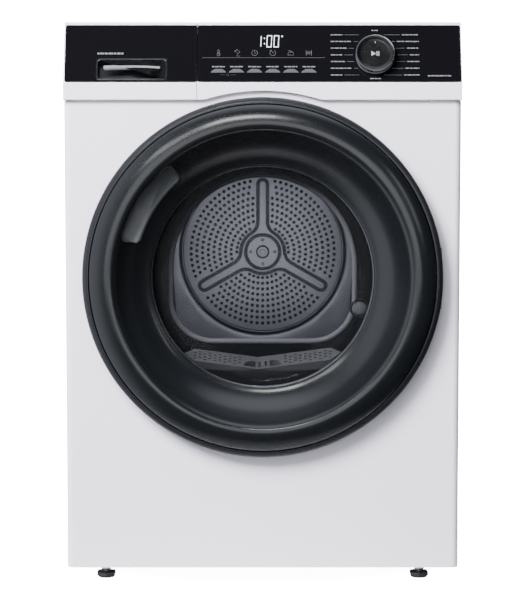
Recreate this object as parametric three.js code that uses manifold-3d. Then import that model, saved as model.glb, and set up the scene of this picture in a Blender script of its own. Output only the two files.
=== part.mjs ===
// A free-standing heat-pump clothes dryer, as an assembly of separate pieces.
// Millimetres, +Z up, the door faces -Y, the origin is on the floor under the middle of the machine.

import * as THREE from "three";
import { mergeVertices } from "three/addons/utils/BufferGeometryUtils.js";
import Module from "manifold-3d";

const wasm = await Module();
wasm.setup();

// ---- driving dimensions ----

const HALF_WIDTH = 297.5; // the cabinet is 595 wide
const HEIGHT = 845;
const FRONT_Y = -262; // face of the front panel
const REAR_Y = 253; // face of the rear panel
const CREST_Y = -303.5; // most forward line of the door ring
const COVER_Y = 303.5; // most rearward face of the rear cover
const SHEET = 2; // wall of the sheet-metal panels
const GAP = 0.4; // play between neighbouring pieces
const PANEL_FOOT_Z = 19.5; // lower edge of the cabinet
const SEAM_Z = 727; // joint between front panel and fascia
const ARCH_RADIUS = 290; // arch of that joint over the door
const ARCH_TOP_Z = 741.5;
const CORNER_RADIUS = 10; // bend of the front panel's vertical edges
const RETURN_Y = -240; // where the front panel's side returns end

const DOOR_Z = 462.5; // centre of the door
const DOOR_RADIUS = 270;
const DOOR_HOLE_RADIUS = 196; // hole in the front panel
const WINDOW_RADIUS = 167; // clear radius of the door window
const HINGE_X = 262; // door hinge axis, vertical
const HINGE_Y = -280;

const DRUM_Z = 472; // drum axis
const DRUM_RADIUS = 284;
const DRUM_FRONT_Y = -176;
const DRUM_BACK_Y = 215;
const THROAT_BACK_Y = -190; // rear wall of the loading throat

const PANEL_LEAN = THREE.MathUtils.degToRad(20); // the control glass leans back
const GLASS_FOOT = { y: -269.5, z: 755 }; // lower outer edge of the control glass
const GLASS_HEIGHT = 90.4; // along its slope
const DRAWER_X = -98; // joint between tank drawer and fascia
const KNOB_X = 167.7;
const KNOB_UP = 40.9; // from the glass foot, along the slope

const ROLLER_RADIUS = 30;
const ROLLER_ANGLE = THREE.MathUtils.degToRad(30); // from straight below the drum axis
const MOTOR = { x: 60, z: 112 };
const BELT_Y = -60;
const PULLEY_RADIUS = 13;
const BELT_THICKNESS = 2.4;
const IDLER = { x: 12.9, z: 143.4, radius: 14 };
const COOLER_FAN = { x: 258, y: 20, z: 110, radius: 45 };
const FOOT = { x: 240, frontY: -235, rearY: 222, height: 10, across: 32 };

// How many flats stand for a full turn.
const DOOR_FLATS = 40;
const DRUM_FLATS = 40;

// ---- materials ----

const finish = (color, roughness, metalness = 0) =>
  new THREE.MeshStandardMaterial({ color, roughness, metalness });

const WHITE = finish(0xe4e3e8, 0.35);
const BLACK_GLOSS = finish(0x15161a, 0.08);
const BLACK_SATIN = finish(0x1c1d20, 0.35);
const SMOKED_GLASS = finish(0x2c2f33, 0.05);
const BRIGHT = finish(0xb9bbc0, 0.2, 1);
const STEEL = finish(0x9b9ca3, 0.3, 1);
const ZINC = finish(0xaeb0b2, 0.45, 0.9);
const GREY_PLASTIC = finish(0x8b8d92, 0.5);
const LIGHT_PLASTIC = finish(0xc9cacc, 0.45);
const DARK_PLASTIC = finish(0x2a2c30, 0.55);
const RUBBER = finish(0x161616, 0.8);
const FELT = finish(0x6f6c66, 0.95);
const FINS = finish(0xb5b8bb, 0.5, 0.9);
const LAMP = finish(0xdfe3e6, 0.2);

// ---- solids ----

// A closed geometry as a solid that can be cut and joined.
function solid(geometry) {
  const bare = geometry.clone();
  bare.deleteAttribute("normal");
  bare.deleteAttribute("uv");
  const merged = mergeVertices(bare, 1e-4);
  const made = new wasm.Manifold(
    new wasm.Mesh({
      numProp: 3,
      vertProperties: merged.attributes.position.array,
      triVerts: new Uint32Array(merged.index.array),
    }),
  );
  return made;
}

const join = (first, ...others) => others.reduce((sum, each) => sum.add(each), first);
const cut = (first, ...others) => others.reduce((rest, each) => rest.subtract(each), first);

function block(x0, x1, y0, y1, z0, z1) {
  const box = new THREE.BoxGeometry(x1 - x0, y1 - y0, z1 - z0);
  return solid(box.translate((x0 + x1) / 2, (y0 + y1) / 2, (z0 + z1) / 2));
}

// A profile of [radius, height] points turned about Y, with its faces outwards either way round.
function lathe(profile, segments) {
  const points = profile.map(([radius, height]) => new THREE.Vector2(radius, height));
  if (THREE.ShapeUtils.area(points) < 0) points.reverse();
  return new THREE.LatheGeometry(points, segments);
}

// A turned solid whose axis is the line x, z parallel to Y.
const turnedY = (profile, x, z, segments = 48) => solid(lathe(profile, segments).translate(x, 0, z));

// A round bar from y0 to y1, and a round ring of the given two radii.
const barY = (x, z, radius, y0, y1, segments = 16) =>
  turnedY([[0, y0], [radius, y0], [radius, y1], [0, y1]], x, z, segments);
const ringY = (x, z, inner, outer, y0, y1, segments = 64) =>
  turnedY([[inner, y0], [outer, y0], [outer, y1], [inner, y1], [inner, y0]], x, z, segments);

function barZ(x, y, radius, z0, z1, segments = 16) {
  const bar = new THREE.CylinderGeometry(radius, radius, z1 - z0, segments);
  return solid(bar.rotateX(Math.PI / 2).translate(x, y, (z0 + z1) / 2));
}

function barX(y, z, radius, x0, x1, segments = 24) {
  const bar = new THREE.CylinderGeometry(radius, radius, x1 - x0, segments);
  return solid(bar.rotateZ(Math.PI / 2).translate((x0 + x1) / 2, y, z));
}

const outline = (points) => new THREE.Shape(points.map(([a, b]) => new THREE.Vector2(a, b)));
const STRAIGHT = { bevelEnabled: false, curveSegments: 4 };

// A shape seen from the front, in X and Z, filled from y0 to y1.
function frontPlate(shape, y0, y1, curveSegments = 6) {
  const plate = new THREE.ExtrudeGeometry(shape, { ...STRAIGHT, curveSegments, depth: y1 - y0 });
  return solid(plate.rotateX(Math.PI / 2).translate(0, y1, 0));
}

// A shape seen from the right, in Y and Z, filled from x0 to x1.
function sidePlate(shape, x0, x1) {
  const plate = new THREE.ExtrudeGeometry(shape, { ...STRAIGHT, depth: x1 - x0 });
  const turn = new THREE.Matrix4().makeBasis(
    new THREE.Vector3(0, 1, 0),
    new THREE.Vector3(0, 0, 1),
    new THREE.Vector3(1, 0, 0),
  );
  return solid(plate.applyMatrix4(turn).translate(x0, 0, 0));
}

// A shape seen from above, in X and Y, filled from z0 to z1.
function planPlate(shape, z0, z1) {
  const plate = new THREE.ExtrudeGeometry(shape, { ...STRAIGHT, depth: z1 - z0 });
  return solid(plate.translate(0, 0, z0));
}

function roundedRectangle(x0, x1, y0, y1, radius) {
  const shape = new THREE.Shape();
  shape.moveTo(x0 + radius, y0);
  shape.lineTo(x1 - radius, y0);
  shape.absarc(x1 - radius, y0 + radius, radius, -Math.PI / 2, 0);
  shape.lineTo(x1, y1 - radius);
  shape.absarc(x1 - radius, y1 - radius, radius, 0, Math.PI / 2);
  shape.lineTo(x0 + radius, y1);
  shape.absarc(x0 + radius, y1 - radius, radius, Math.PI / 2, Math.PI);
  shape.lineTo(x0, y0 + radius);
  shape.absarc(x0 + radius, y0 + radius, radius, Math.PI, 1.5 * Math.PI);
  return shape;
}

// ---- scene graph ----

const dryer = new THREE.Group();

function assembly(parent, x = 0, y = 0, z = 0, leanX = 0) {
  const group = new THREE.Group();
  group.position.set(x, y, z);
  group.rotation.x = leanX;
  parent.add(group);
  dryer.updateMatrixWorld(true);
  return group;
}

// Adds a solid that is given in the dryer's own frame to a group as a named mesh.
function addPiece(group, name, piece, material) {
  const { vertProperties, triVerts } = piece.getMesh();
  const geometry = new THREE.BufferGeometry();
  geometry.setAttribute("position", new THREE.BufferAttribute(vertProperties.slice(), 3));
  geometry.setIndex(new THREE.BufferAttribute(triVerts.slice(), 1));
  geometry.applyMatrix4(group.matrixWorld.clone().invert());
  geometry.computeVertexNormals();
  const mesh = new THREE.Mesh(geometry, material);
  mesh.name = name;
  group.add(mesh);
}

// Moves a geometry from a leaning group's frame into the dryer's frame, as a solid.
const inGroup = (group, geometry) => solid(geometry.clone().applyMatrix4(group.matrixWorld));

const cabinet = assembly(dryer);
const base = assembly(dryer);
const controls = assembly(dryer, 0, GLASS_FOOT.y, GLASS_FOOT.z, Math.PI / 2 - PANEL_LEAN);
const tankDrawer = assembly(dryer, 0, FRONT_Y, SEAM_Z);
const door = assembly(dryer, HINGE_X, HINGE_Y, DOOR_Z);
const drum = assembly(dryer, 0, 0, DRUM_Z);
const rotor = assembly(dryer, MOTOR.x, 0, MOTOR.z);

// ---- cabinet ----

const archZ = ARCH_TOP_Z - ARCH_RADIUS;

// Everything above the joint between front panel and fascia, lifted by a play.
function aboveSeam(play) {
  const radius = ARCH_RADIUS + play;
  const half = Math.acos((SEAM_Z + play - archZ) / radius);
  const shape = new THREE.Shape();
  shape.moveTo(-HALF_WIDTH - 1, SEAM_Z + play);
  shape.lineTo(-radius * Math.sin(half), SEAM_Z + play);
  shape.absarc(0, archZ, radius, Math.PI / 2 + half, Math.PI / 2 - half, true);
  shape.lineTo(HALF_WIDTH + 1, SEAM_Z + play);
  shape.lineTo(HALF_WIDTH + 1, HEIGHT + 1);
  shape.lineTo(-HALF_WIDTH - 1, HEIGHT + 1);
  return shape;
}

// The front panel's section from above: a plate with rounded bends and two side returns.
function frontPanelSection() {
  const inner = HALF_WIDTH - SHEET;
  const bend = CORNER_RADIUS;
  const shape = new THREE.Shape();
  shape.moveTo(-HALF_WIDTH, RETURN_Y);
  shape.lineTo(-HALF_WIDTH, FRONT_Y + bend);
  shape.absarc(-HALF_WIDTH + bend, FRONT_Y + bend, bend, Math.PI, 1.5 * Math.PI);
  shape.lineTo(HALF_WIDTH - bend, FRONT_Y);
  shape.absarc(HALF_WIDTH - bend, FRONT_Y + bend, bend, -Math.PI / 2, 0);
  shape.lineTo(HALF_WIDTH, RETURN_Y);
  shape.lineTo(inner, RETURN_Y);
  shape.lineTo(inner, FRONT_Y + bend);
  shape.absarc(HALF_WIDTH - bend, FRONT_Y + bend, bend - SHEET, 0, -Math.PI / 2, true);
  shape.lineTo(-HALF_WIDTH + bend, FRONT_Y + SHEET);
  shape.absarc(-HALF_WIDTH + bend, FRONT_Y + bend, bend - SHEET, -Math.PI / 2, -Math.PI, true);
  shape.lineTo(-inner, RETURN_Y);
  return shape;
}

const HOOK_X = -206; // the door hook's slot in the front panel
const latchRoom = block(
  HOOK_X - 15, HOOK_X + 9, FRONT_Y + SHEET, FRONT_Y + 27, DOOR_Z - 27, DOOR_Z + 27,
);
const latchSlot = block(HOOK_X - 9, HOOK_X + 9, FRONT_Y - 1, FRONT_Y + 6, DOOR_Z - 14, DOOR_Z + 14);
const hingeWindow = block(
  HINGE_X - 20, HINGE_X - 4, FRONT_Y - 1, FRONT_Y + 6, DOOR_Z - 50, DOOR_Z + 50,
);

addPiece(cabinet, "front_panel", cut(
  planPlate(frontPanelSection(), PANEL_FOOT_Z, ARCH_TOP_Z),
  frontPlate(aboveSeam(0), FRONT_Y - 2, 0, 24),
  barY(0, DOOR_Z, DOOR_HOLE_RADIUS, FRONT_Y - 2, FRONT_Y + 4, DOOR_FLATS),
  latchSlot,
  hingeWindow,
), WHITE);

const SIDE_FRONT_Y = RETURN_Y + GAP;
const SIDE_TOP_Z = 819;
for (const [side, name] of [[-1, "left_side_panel"], [1, "right_side_panel"]]) {
  const outer = side * HALF_WIDTH;
  const inner = side * (HALF_WIDTH - SHEET);
  const wall = block(
    Math.min(outer, inner), Math.max(outer, inner), SIDE_FRONT_Y, REAR_Y, PANEL_FOOT_Z, SIDE_TOP_Z,
  );
  addPiece(cabinet, name, wall, WHITE);
}

// The worktop is a shallow cap over the side and rear panels.
const TOP_FRONT_Y = -204;
const topOuter = block(-HALF_WIDTH, HALF_WIDTH, TOP_FRONT_Y, REAR_Y + 6, SIDE_TOP_Z + GAP, HEIGHT);
const topHollow = block(
  -HALF_WIDTH + 14, HALF_WIDTH - 14, TOP_FRONT_Y + 6, REAR_Y - 10, SIDE_TOP_Z - 1, HEIGHT - 4,
);
addPiece(cabinet, "top_panel", cut(topOuter, topHollow), WHITE);

// The side section shared by the fascia and the front of the tank drawer.
const slope = { y: Math.sin(PANEL_LEAN), z: Math.cos(PANEL_LEAN) };
const FASCIA_Y = FRONT_Y - 8;
const FASCIA_WALL = 2.7;
const GLASS_SEAT = 2.4; // depth of the seat for the glass

const onSlope = (up, out) => [
  GLASS_FOOT.y + up * slope.y - out * slope.z,
  GLASS_FOOT.z + up * slope.z + out * slope.y,
];

function fasciaSection(rearY) {
  const seat = GLASS_SEAT;
  const inner = GLASS_SEAT + FASCIA_WALL;
  const topLip = onSlope(GLASS_HEIGHT + GAP, 0);
  return outline([
    [FASCIA_Y + 14, SEAM_Z + GAP],
    [FASCIA_Y + 1.5, SEAM_Z + GAP],
    [FASCIA_Y, SEAM_Z + GAP + 1.5],
    [FASCIA_Y, GLASS_FOOT.z - 1.6],
    [FASCIA_Y + 0.8, GLASS_FOOT.z - 0.8],
    onSlope(-GAP, -seat),
    onSlope(GLASS_HEIGHT + GAP, -seat),
    topLip,
    [topLip[0] + 0.9, HEIGHT - 1.2],
    [topLip[0] + 2.4, HEIGHT],
    [rearY, HEIGHT],
    [rearY, HEIGHT - FASCIA_WALL],
    [topLip[0] + 7, HEIGHT - FASCIA_WALL],
    onSlope(4, -inner),
    [FASCIA_Y + FASCIA_WALL, GLASS_FOOT.z - 1],
    [FASCIA_Y + FASCIA_WALL, SEAM_Z + GAP + FASCIA_WALL],
    [FASCIA_Y + 14, SEAM_Z + GAP + FASCIA_WALL],
  ]);
}

// The closed end of that section, which meets the side panel and the front panel's return.
function fasciaEnd(x0, x1) {
  const topLip = onSlope(GLASS_HEIGHT + GAP, 0);
  return sidePlate(outline([
    [FASCIA_Y + 1.5, SEAM_Z + GAP],
    [FASCIA_Y, SEAM_Z + GAP + 1.5],
    [FASCIA_Y, GLASS_FOOT.z - 1.6],
    [FASCIA_Y + 0.8, GLASS_FOOT.z - 0.8],
    onSlope(-GAP, -GLASS_SEAT),
    onSlope(GLASS_HEIGHT + GAP, -GLASS_SEAT),
    topLip,
    [topLip[0] + 0.9, HEIGHT - 1.2],
    [topLip[0] + 2.4, HEIGHT],
    [TOP_FRONT_Y - GAP, HEIGHT],
    [TOP_FRONT_Y - GAP, SIDE_TOP_Z + GAP],
    [RETURN_Y, SIDE_TOP_Z + GAP],
    [RETURN_Y, SEAM_Z + GAP],
  ]), x0, x1);
}

// The seam's arch seen from the front, cut out of the fascia's lower edge.
function archBelow(play) {
  const shape = new THREE.Shape();
  const radius = ARCH_RADIUS + play;
  const half = Math.acos((SEAM_Z - 4 - archZ) / radius);
  shape.absarc(0, archZ, radius, Math.PI / 2 - half, Math.PI / 2 + half);
  return shape;
}
const archCut = frontPlate(archBelow(GAP), FASCIA_Y - 2, FASCIA_Y + 20, 24);

const KNOB_SHAFT_RADIUS = 4;
const knobHoleGeometry = new THREE.CylinderGeometry(6, 6, 60, 24)
  .rotateX(Math.PI / 2)
  .translate(KNOB_X, KNOB_UP, 0);
const knobHole = inGroup(controls, knobHoleGeometry);

addPiece(controls, "fascia", cut(
  join(
    sidePlate(fasciaSection(TOP_FRONT_Y - GAP), DRAWER_X + GAP, HALF_WIDTH),
    fasciaEnd(HALF_WIDTH - FASCIA_WALL, HALF_WIDTH),
  ),
  archCut,
  knobHole,
), WHITE);

// Boxes in the leaning frame of the control glass: across, up the slope, and out of it.
function leaningBox(x0, x1, up0, up1, out0, out1) {
  const box = new THREE.BoxGeometry(x1 - x0, up1 - up0, out1 - out0);
  return inGroup(controls, box.translate((x0 + x1) / 2, (up0 + up1) / 2, (out0 + out1) / 2));
}

const PANE = 2;
function leaningPane(x0, x1) {
  const shape = roundedRectangle(x0, x1, 0, GLASS_HEIGHT, 3);
  const pane = new THREE.ExtrudeGeometry(shape, { ...STRAIGHT, depth: PANE });
  return inGroup(controls, pane.translate(0, 0, -PANE));
}
const PANE_SIDE_X = HALF_WIDTH - 2;
addPiece(controls, "control_glass",
  cut(leaningPane(DRAWER_X + GAP, PANE_SIDE_X), knobHole), BLACK_GLOSS);

// The circuit board's case stands behind the glass and carries the knob's encoder.
addPiece(controls, "control_board", cut(
  leaningBox(-88, KNOB_X + 20, 12, 84, -24, -6),
  knobHole,
), DARK_PLASTIC);

// The programme knob: a tapering cap with a shaft, and a bright ring around its foot.
const KNOB_FOOT_RADIUS = 16.4;
const KNOB_FRONT_RADIUS = 14.2;
const KNOB_HEIGHT = 20;

const leaningTurned = (profile, segments) =>
  inGroup(controls, lathe(profile, segments).rotateX(Math.PI / 2).translate(KNOB_X, KNOB_UP, 0));

const knob = assembly(controls, KNOB_X, KNOB_UP, 0);
addPiece(knob, "program_knob", leaningTurned([
  [0, -22],
  [KNOB_SHAFT_RADIUS, -22],
  [KNOB_SHAFT_RADIUS, 4.5],
  [14.6, 4.5],
  [KNOB_FRONT_RADIUS + 0.2, KNOB_HEIGHT - 1.2],
  [KNOB_FRONT_RADIUS - 1, KNOB_HEIGHT],
  [0, KNOB_HEIGHT],
], 28), BLACK_SATIN);
addPiece(knob, "knob_ring", leaningTurned([
  [5, 0.6],
  [KNOB_FOOT_RADIUS - 0.4, 0.6],
  [KNOB_FOOT_RADIUS, 1],
  [KNOB_FOOT_RADIUS - 0.8, 4.2],
  [5, 4.2],
  [5, 0.6],
], 28), BRIGHT);

// ---- condensate tank drawer ----

const GRIP = { x0: -247.5, x1: -143, up0: 3, up1: 36, depth: 24 };
const gripHole = leaningBox(GRIP.x0 - GAP, GRIP.x1 + GAP, GRIP.up0 - GAP, GRIP.up1 + GAP, -40, 5);

const drawerSection = join(
  sidePlate(fasciaSection(TOP_FRONT_Y - GAP), -HALF_WIDTH, DRAWER_X - GAP),
  fasciaEnd(-HALF_WIDTH, -HALF_WIDTH + FASCIA_WALL),
);
addPiece(tankDrawer, "tank_front", cut(drawerSection, archCut, gripHole), WHITE);
addPiece(tankDrawer, "tank_glass",
  cut(leaningPane(-PANE_SIDE_X, DRAWER_X - GAP), gripHole), BLACK_GLOSS);

// The grip is an open cup: a hand reaches in and pulls on its upper lip.
addPiece(tankDrawer, "tank_grip", cut(
  leaningBox(GRIP.x0, GRIP.x1, GRIP.up0, GRIP.up1, -GRIP.depth, -0.6),
  leaningBox(GRIP.x0 + 2, GRIP.x1 - 2, GRIP.up0 + 2, GRIP.up1 - 2, -GRIP.depth + 2, 5),
), BLACK_SATIN);

const TANK = { x0: -288, x1: -104, y0: -222, y1: 190, z0: 754, z1: 816, wall: 2.5 };
addPiece(tankDrawer, "condensate_tank", cut(
  block(TANK.x0, TANK.x1, TANK.y0, TANK.y1, TANK.z0, TANK.z1),
  block(
    TANK.x0 + TANK.wall, TANK.x1 - TANK.wall, TANK.y0 + TANK.wall, TANK.y1 - TANK.wall,
    TANK.z0 + TANK.wall, TANK.z1 - TANK.wall,
  ),
  barZ(TANK.x0 + 60, TANK.y1 - 60, 18, TANK.z1 - 5, TANK.z1 + 5),
), LIGHT_PLASTIC);

// ---- rear of the cabinet ----

const SHAFT_RADIUS = 10;
const AIR_HOLE = { radius: 42, ring: 120, count: 6 };
const airHoles = Array.from({ length: AIR_HOLE.count }, (_, i) => {
  const turn = (i * 2 * Math.PI) / AIR_HOLE.count;
  return barY(
    AIR_HOLE.ring * Math.cos(turn), DRUM_Z + AIR_HOLE.ring * Math.sin(turn),
    AIR_HOLE.radius, REAR_Y - 5, REAR_Y + 5,
  );
});
addPiece(cabinet, "rear_panel", cut(
  block(-HALF_WIDTH + SHEET + GAP, HALF_WIDTH - SHEET - GAP, REAR_Y - SHEET, REAR_Y,
    PANEL_FOOT_Z, SIDE_TOP_Z),
  barY(0, DRUM_Z, 26, REAR_Y - 5, REAR_Y + 5),
  barY(MOTOR.x, MOTOR.z, AIR_HOLE.radius, REAR_Y - 5, REAR_Y + 5),
  ...airHoles,
), ZINC);

// The rear cover is a duct: a round dish over the drum's back, with a leg up from the blower.
const COVER = { radius: 222, legHalf: 66, footZ: 40, rim: 12 };
const coverBody = (grow, y0, y1) => join(
  barY(0, DRUM_Z, COVER.radius + grow, y0, y1, DRUM_FLATS),
  block(MOTOR.x - COVER.legHalf - grow, MOTOR.x + COVER.legHalf + grow, y0, y1,
    COVER.footZ - grow, DRUM_Z),
);
addPiece(cabinet, "rear_cover", cut(
  join(
    coverBody(0, REAR_Y + GAP, COVER_Y),
    coverBody(COVER.rim, REAR_Y + GAP, REAR_Y + GAP + SHEET),
  ),
  coverBody(-SHEET, REAR_Y - 1, COVER_Y - SHEET),
), ZINC);

addPiece(cabinet, "power_inlet", join(
  block(-262, -218, REAR_Y + GAP, REAR_Y + 14, 700, 728),
  barY(-240, 714, 8, REAR_Y + 10, REAR_Y + 26, 20),
), DARK_PLASTIC);

// ---- door ----

// A sector of a ring seen from the front, about the door's centre.
function sectorShape(inner, outer, start, end) {
  const shape = new THREE.Shape();
  shape.absarc(0, DOOR_Z, outer, start, end);
  shape.absarc(0, DOOR_Z, inner, end, start, true);
  return shape;
}

const RECESS = {
  inner: 190,
  outer: 221,
  start: THREE.MathUtils.degToRad(129),
  end: THREE.MathUtils.degToRad(165),
  floorY: FRONT_Y - 4,
};
const recessAngle = GAP / RECESS.outer;
const recessHole = frontPlate(
  sectorShape(RECESS.inner - GAP, RECESS.outer + GAP,
    RECESS.start - recessAngle, RECESS.end + recessAngle),
  CREST_Y - 5, RECESS.floorY - GAP, 5,
);

const DOOR_REAR_Y = FRONT_Y - 2.5;
const BAND_INNER = 260.4;
const BAND_FRONT_Y = -292.5;

// Behind the ring, a notch on the right leaves room for the hinge.
const hingeNotch = block(
  HINGE_X - 26, HINGE_X + 12, HINGE_Y - 7.5, FRONT_Y, DOOR_Z - 48, DOOR_Z + 48,
);

// The glossy ring: out over the crest, then down the inner cone to the window.
addPiece(door, "door_ring", cut(turnedY([
  [BAND_INNER - GAP, -280],
  [BAND_INNER - GAP, -292.5],
  [250, -299.2],
  [231, CREST_Y],
  [221, -299.5],
  [200, -274.5],
  [186, -262],
  [WINDOW_RADIUS + 1, -252],
  [WINDOW_RADIUS + 1, -249],
  [188, -259.2],
  [202, -271.8],
  [223, -296.4],
  [231, -300.8],
  [249, -296.4],
  [257, -291],
  [257, -280],
  [BAND_INNER - GAP, -280],
], 0, DOOR_Z, DOOR_FLATS), recessHole, hingeNotch), BLACK_GLOSS);

addPiece(door, "door_band", cut(turnedY([
  [DOOR_RADIUS - 1.5, DOOR_REAR_Y],
  [DOOR_RADIUS, DOOR_REAR_Y - 1.5],
  [DOOR_RADIUS, -284],
  [DOOR_RADIUS - 1.6, -289],
  [DOOR_RADIUS - 5, -292],
  [BAND_INNER, BAND_FRONT_Y],
  [BAND_INNER, -274],
  [DOOR_RADIUS - 5.5, -270],
  [DOOR_RADIUS - 5.5, DOOR_REAR_Y],
  [DOOR_RADIUS - 1.5, DOOR_REAR_Y],
], 0, DOOR_Z, DOOR_FLATS), hingeNotch), BLACK_SATIN);

// The inner frame closes the door's back and plugs into the loading throat.
const PLUG_RADIUS = 182;
const PLUG_REAR_Y = -232;
addPiece(door, "door_frame", cut(turnedY([
  [DOOR_RADIUS - 6, DOOR_REAR_Y],
  [DOOR_RADIUS - 6, DOOR_REAR_Y - 2],
  [197, DOOR_REAR_Y - 2],
  [187.6, -257.6],
  [PLUG_RADIUS - 2, -250.5],
  [PLUG_RADIUS - 2, PLUG_REAR_Y - 1.5],
  [172, PLUG_REAR_Y - 1.5],
  [172, PLUG_REAR_Y],
  [PLUG_RADIUS, PLUG_REAR_Y],
  [PLUG_RADIUS, -249.5],
  [186, -255.5],
  [190, -259.6],
  [197.2, DOOR_REAR_Y],
  [DOOR_RADIUS - 6, DOOR_REAR_Y],
], 0, DOOR_Z, DOOR_FLATS), hingeNotch), DARK_PLASTIC);

addPiece(door, "door_handle_pocket", cut(
  frontPlate(sectorShape(RECESS.inner, RECESS.outer, RECESS.start, RECESS.end),
    -286, RECESS.floorY - 1, 5),
  frontPlate(sectorShape(RECESS.inner + 2, RECESS.outer - 2,
    RECESS.start + 0.012, RECESS.end - 0.012), CREST_Y, RECESS.floorY - 3, 5),
  turnedY([[0, -310], [224, -310], [221, -299.5], [200, -274.5], [186, -262], [0, -262]],
    0, DOOR_Z, DOOR_FLATS),
), BLACK_SATIN);

addPiece(door, "door_glass", turnedY([
  [0, -236],
  [146, -236.5],
  [160, -240],
  [165, -244.5],
  [176, -246.5],
  [176, -243.5],
  [167, -241],
  [161, -236],
  [146, -233.2],
  [0, -233],
], 0, DOOR_Z, DOOR_FLATS), SMOKED_GLASS);

addPiece(door, "door_seal", turnedY([
  [PLUG_RADIUS + GAP, -246],
  [PLUG_RADIUS + 5, -246],
  [PLUG_RADIUS + 8, -242],
  [PLUG_RADIUS + 5, -238],
  [PLUG_RADIUS + GAP, -238],
  [PLUG_RADIUS + GAP, -246],
], 0, DOOR_Z, DOOR_FLATS), RUBBER);

// The hook's tongue goes through the front panel into the latch.
addPiece(door, "door_hook", cut(
  join(
    block(HOOK_X - 5, HOOK_X + 5, DOOR_REAR_Y + GAP, DOOR_REAR_Y + 1.8, DOOR_Z - 12, DOOR_Z + 12),
    block(HOOK_X - 2, HOOK_X + 2, DOOR_REAR_Y + 1, FRONT_Y + 14, DOOR_Z - 9, DOOR_Z + 9),
  ),
  block(HOOK_X - 4, HOOK_X + 4, FRONT_Y + 5, FRONT_Y + 10, DOOR_Z - 5, DOOR_Z + 5),
), ZINC);
addPiece(cabinet, "latch_housing", cut(
  block(HOOK_X - 14, HOOK_X + 8, FRONT_Y + SHEET + GAP, FRONT_Y + 26, DOOR_Z - 26, DOOR_Z + 26),
  block(HOOK_X - 7, HOOK_X + 6, FRONT_Y, FRONT_Y + 20, DOOR_Z - 13, DOOR_Z + 13),
), GREY_PLASTIC);

// The hinge: two knuckles on the cabinet's bracket, one long knuckle on the door's leaf.
const PIN_RADIUS = 3;
const KNUCKLE_RADIUS = 6;
const KNUCKLE_HALF = 30;
const LEAF_X = HINGE_X - 28;
function knuckle(z0, z1) {
  return barZ(HINGE_X, HINGE_Y, KNUCKLE_RADIUS, z0, z1);
}
const pinHole = barZ(HINGE_X, HINGE_Y, PIN_RADIUS + GAP, DOOR_Z - 60, DOOR_Z + 60);
// Each arm runs sideways before it turns back, so the door's rim clears it when it swings round.
const ARM_X = HINGE_X - 14;
const bracketArm = (z0, z1) => [
  block(ARM_X, HINGE_X, HINGE_Y - 2, HINGE_Y + 2.5, z0, z1),
  block(ARM_X, ARM_X + 5, HINGE_Y - 2, FRONT_Y + SHEET + 3, z0, z1),
];
addPiece(cabinet, "hinge_bracket", cut(join(
  block(HINGE_X - 26, HINGE_X + 8, FRONT_Y + SHEET + GAP, FRONT_Y + SHEET + 3.4,
    DOOR_Z - 60, DOOR_Z + 60),
  ...[[-46, -KNUCKLE_HALF - GAP], [KNUCKLE_HALF + GAP, 46]].flatMap(([low, high]) => [
    knuckle(DOOR_Z + low, DOOR_Z + high),
    ...bracketArm(DOOR_Z + low, DOOR_Z + high),
  ]),
), pinHole), ZINC);
addPiece(door, "hinge_leaf", cut(join(
  knuckle(DOOR_Z - KNUCKLE_HALF, DOOR_Z + KNUCKLE_HALF),
  block(LEAF_X, HINGE_X - 3, HINGE_Y - 2, HINGE_Y + 2,
    DOOR_Z - KNUCKLE_HALF, DOOR_Z + KNUCKLE_HALF),
  block(LEAF_X, LEAF_X + 3, HINGE_Y - 2, DOOR_REAR_Y - 2 - GAP,
    DOOR_Z - KNUCKLE_HALF, DOOR_Z + KNUCKLE_HALF),
  block(LEAF_X - 24, LEAF_X + 3, DOOR_REAR_Y - 4 - GAP, DOOR_REAR_Y - 2 - GAP,
    DOOR_Z - KNUCKLE_HALF, DOOR_Z + KNUCKLE_HALF),
), pinHole), ZINC);
addPiece(cabinet, "hinge_pin",
  barZ(HINGE_X, HINGE_Y, PIN_RADIUS, DOOR_Z - 46, DOOR_Z + 46, 16), STEEL);

// ---- loading throat, lamp and lint filter ----

// The D-shaped opening into the drum: a round top over a flat lower lip with round corners.
const OPENING = { half: 138, top: 612, lip: 362, corner: 62 };
function openingShape(grow) {
  const half = OPENING.half + grow;
  const top = OPENING.top + grow;
  const lip = OPENING.lip - grow;
  const corner = OPENING.corner + grow;
  const shape = new THREE.Shape();
  shape.moveTo(-half + corner, lip);
  shape.lineTo(half - corner, lip);
  shape.absarc(half - corner, lip + corner, corner, -Math.PI / 2, -Math.PI / 8);
  shape.lineTo(half, top - half);
  shape.absarc(0, top - half, half, 0, Math.PI);
  shape.lineTo(-half + corner - corner * Math.cos(Math.PI / 8),
    lip + corner - corner * Math.sin(Math.PI / 8));
  shape.absarc(-half + corner, lip + corner, corner, Math.PI * 1.125, 1.5 * Math.PI);
  return shape;
}

const THROAT_RADIUS = 192;
const FILTER = { half: 122, y0: -226, y1: -197, top: 334, sag: 10, z0: 214 };
const filterPocket = (play, top) => block(
  -FILTER.half - play, FILTER.half + play, FILTER.y0 - play, FILTER.y1 + play,
  FILTER.z0 - play, top,
);
const COLLAR = { inner: 236, outer: 262, y1: -168 };
const LAMP_SPOT = { x: 150, z: 409, radius: 11 };

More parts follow.
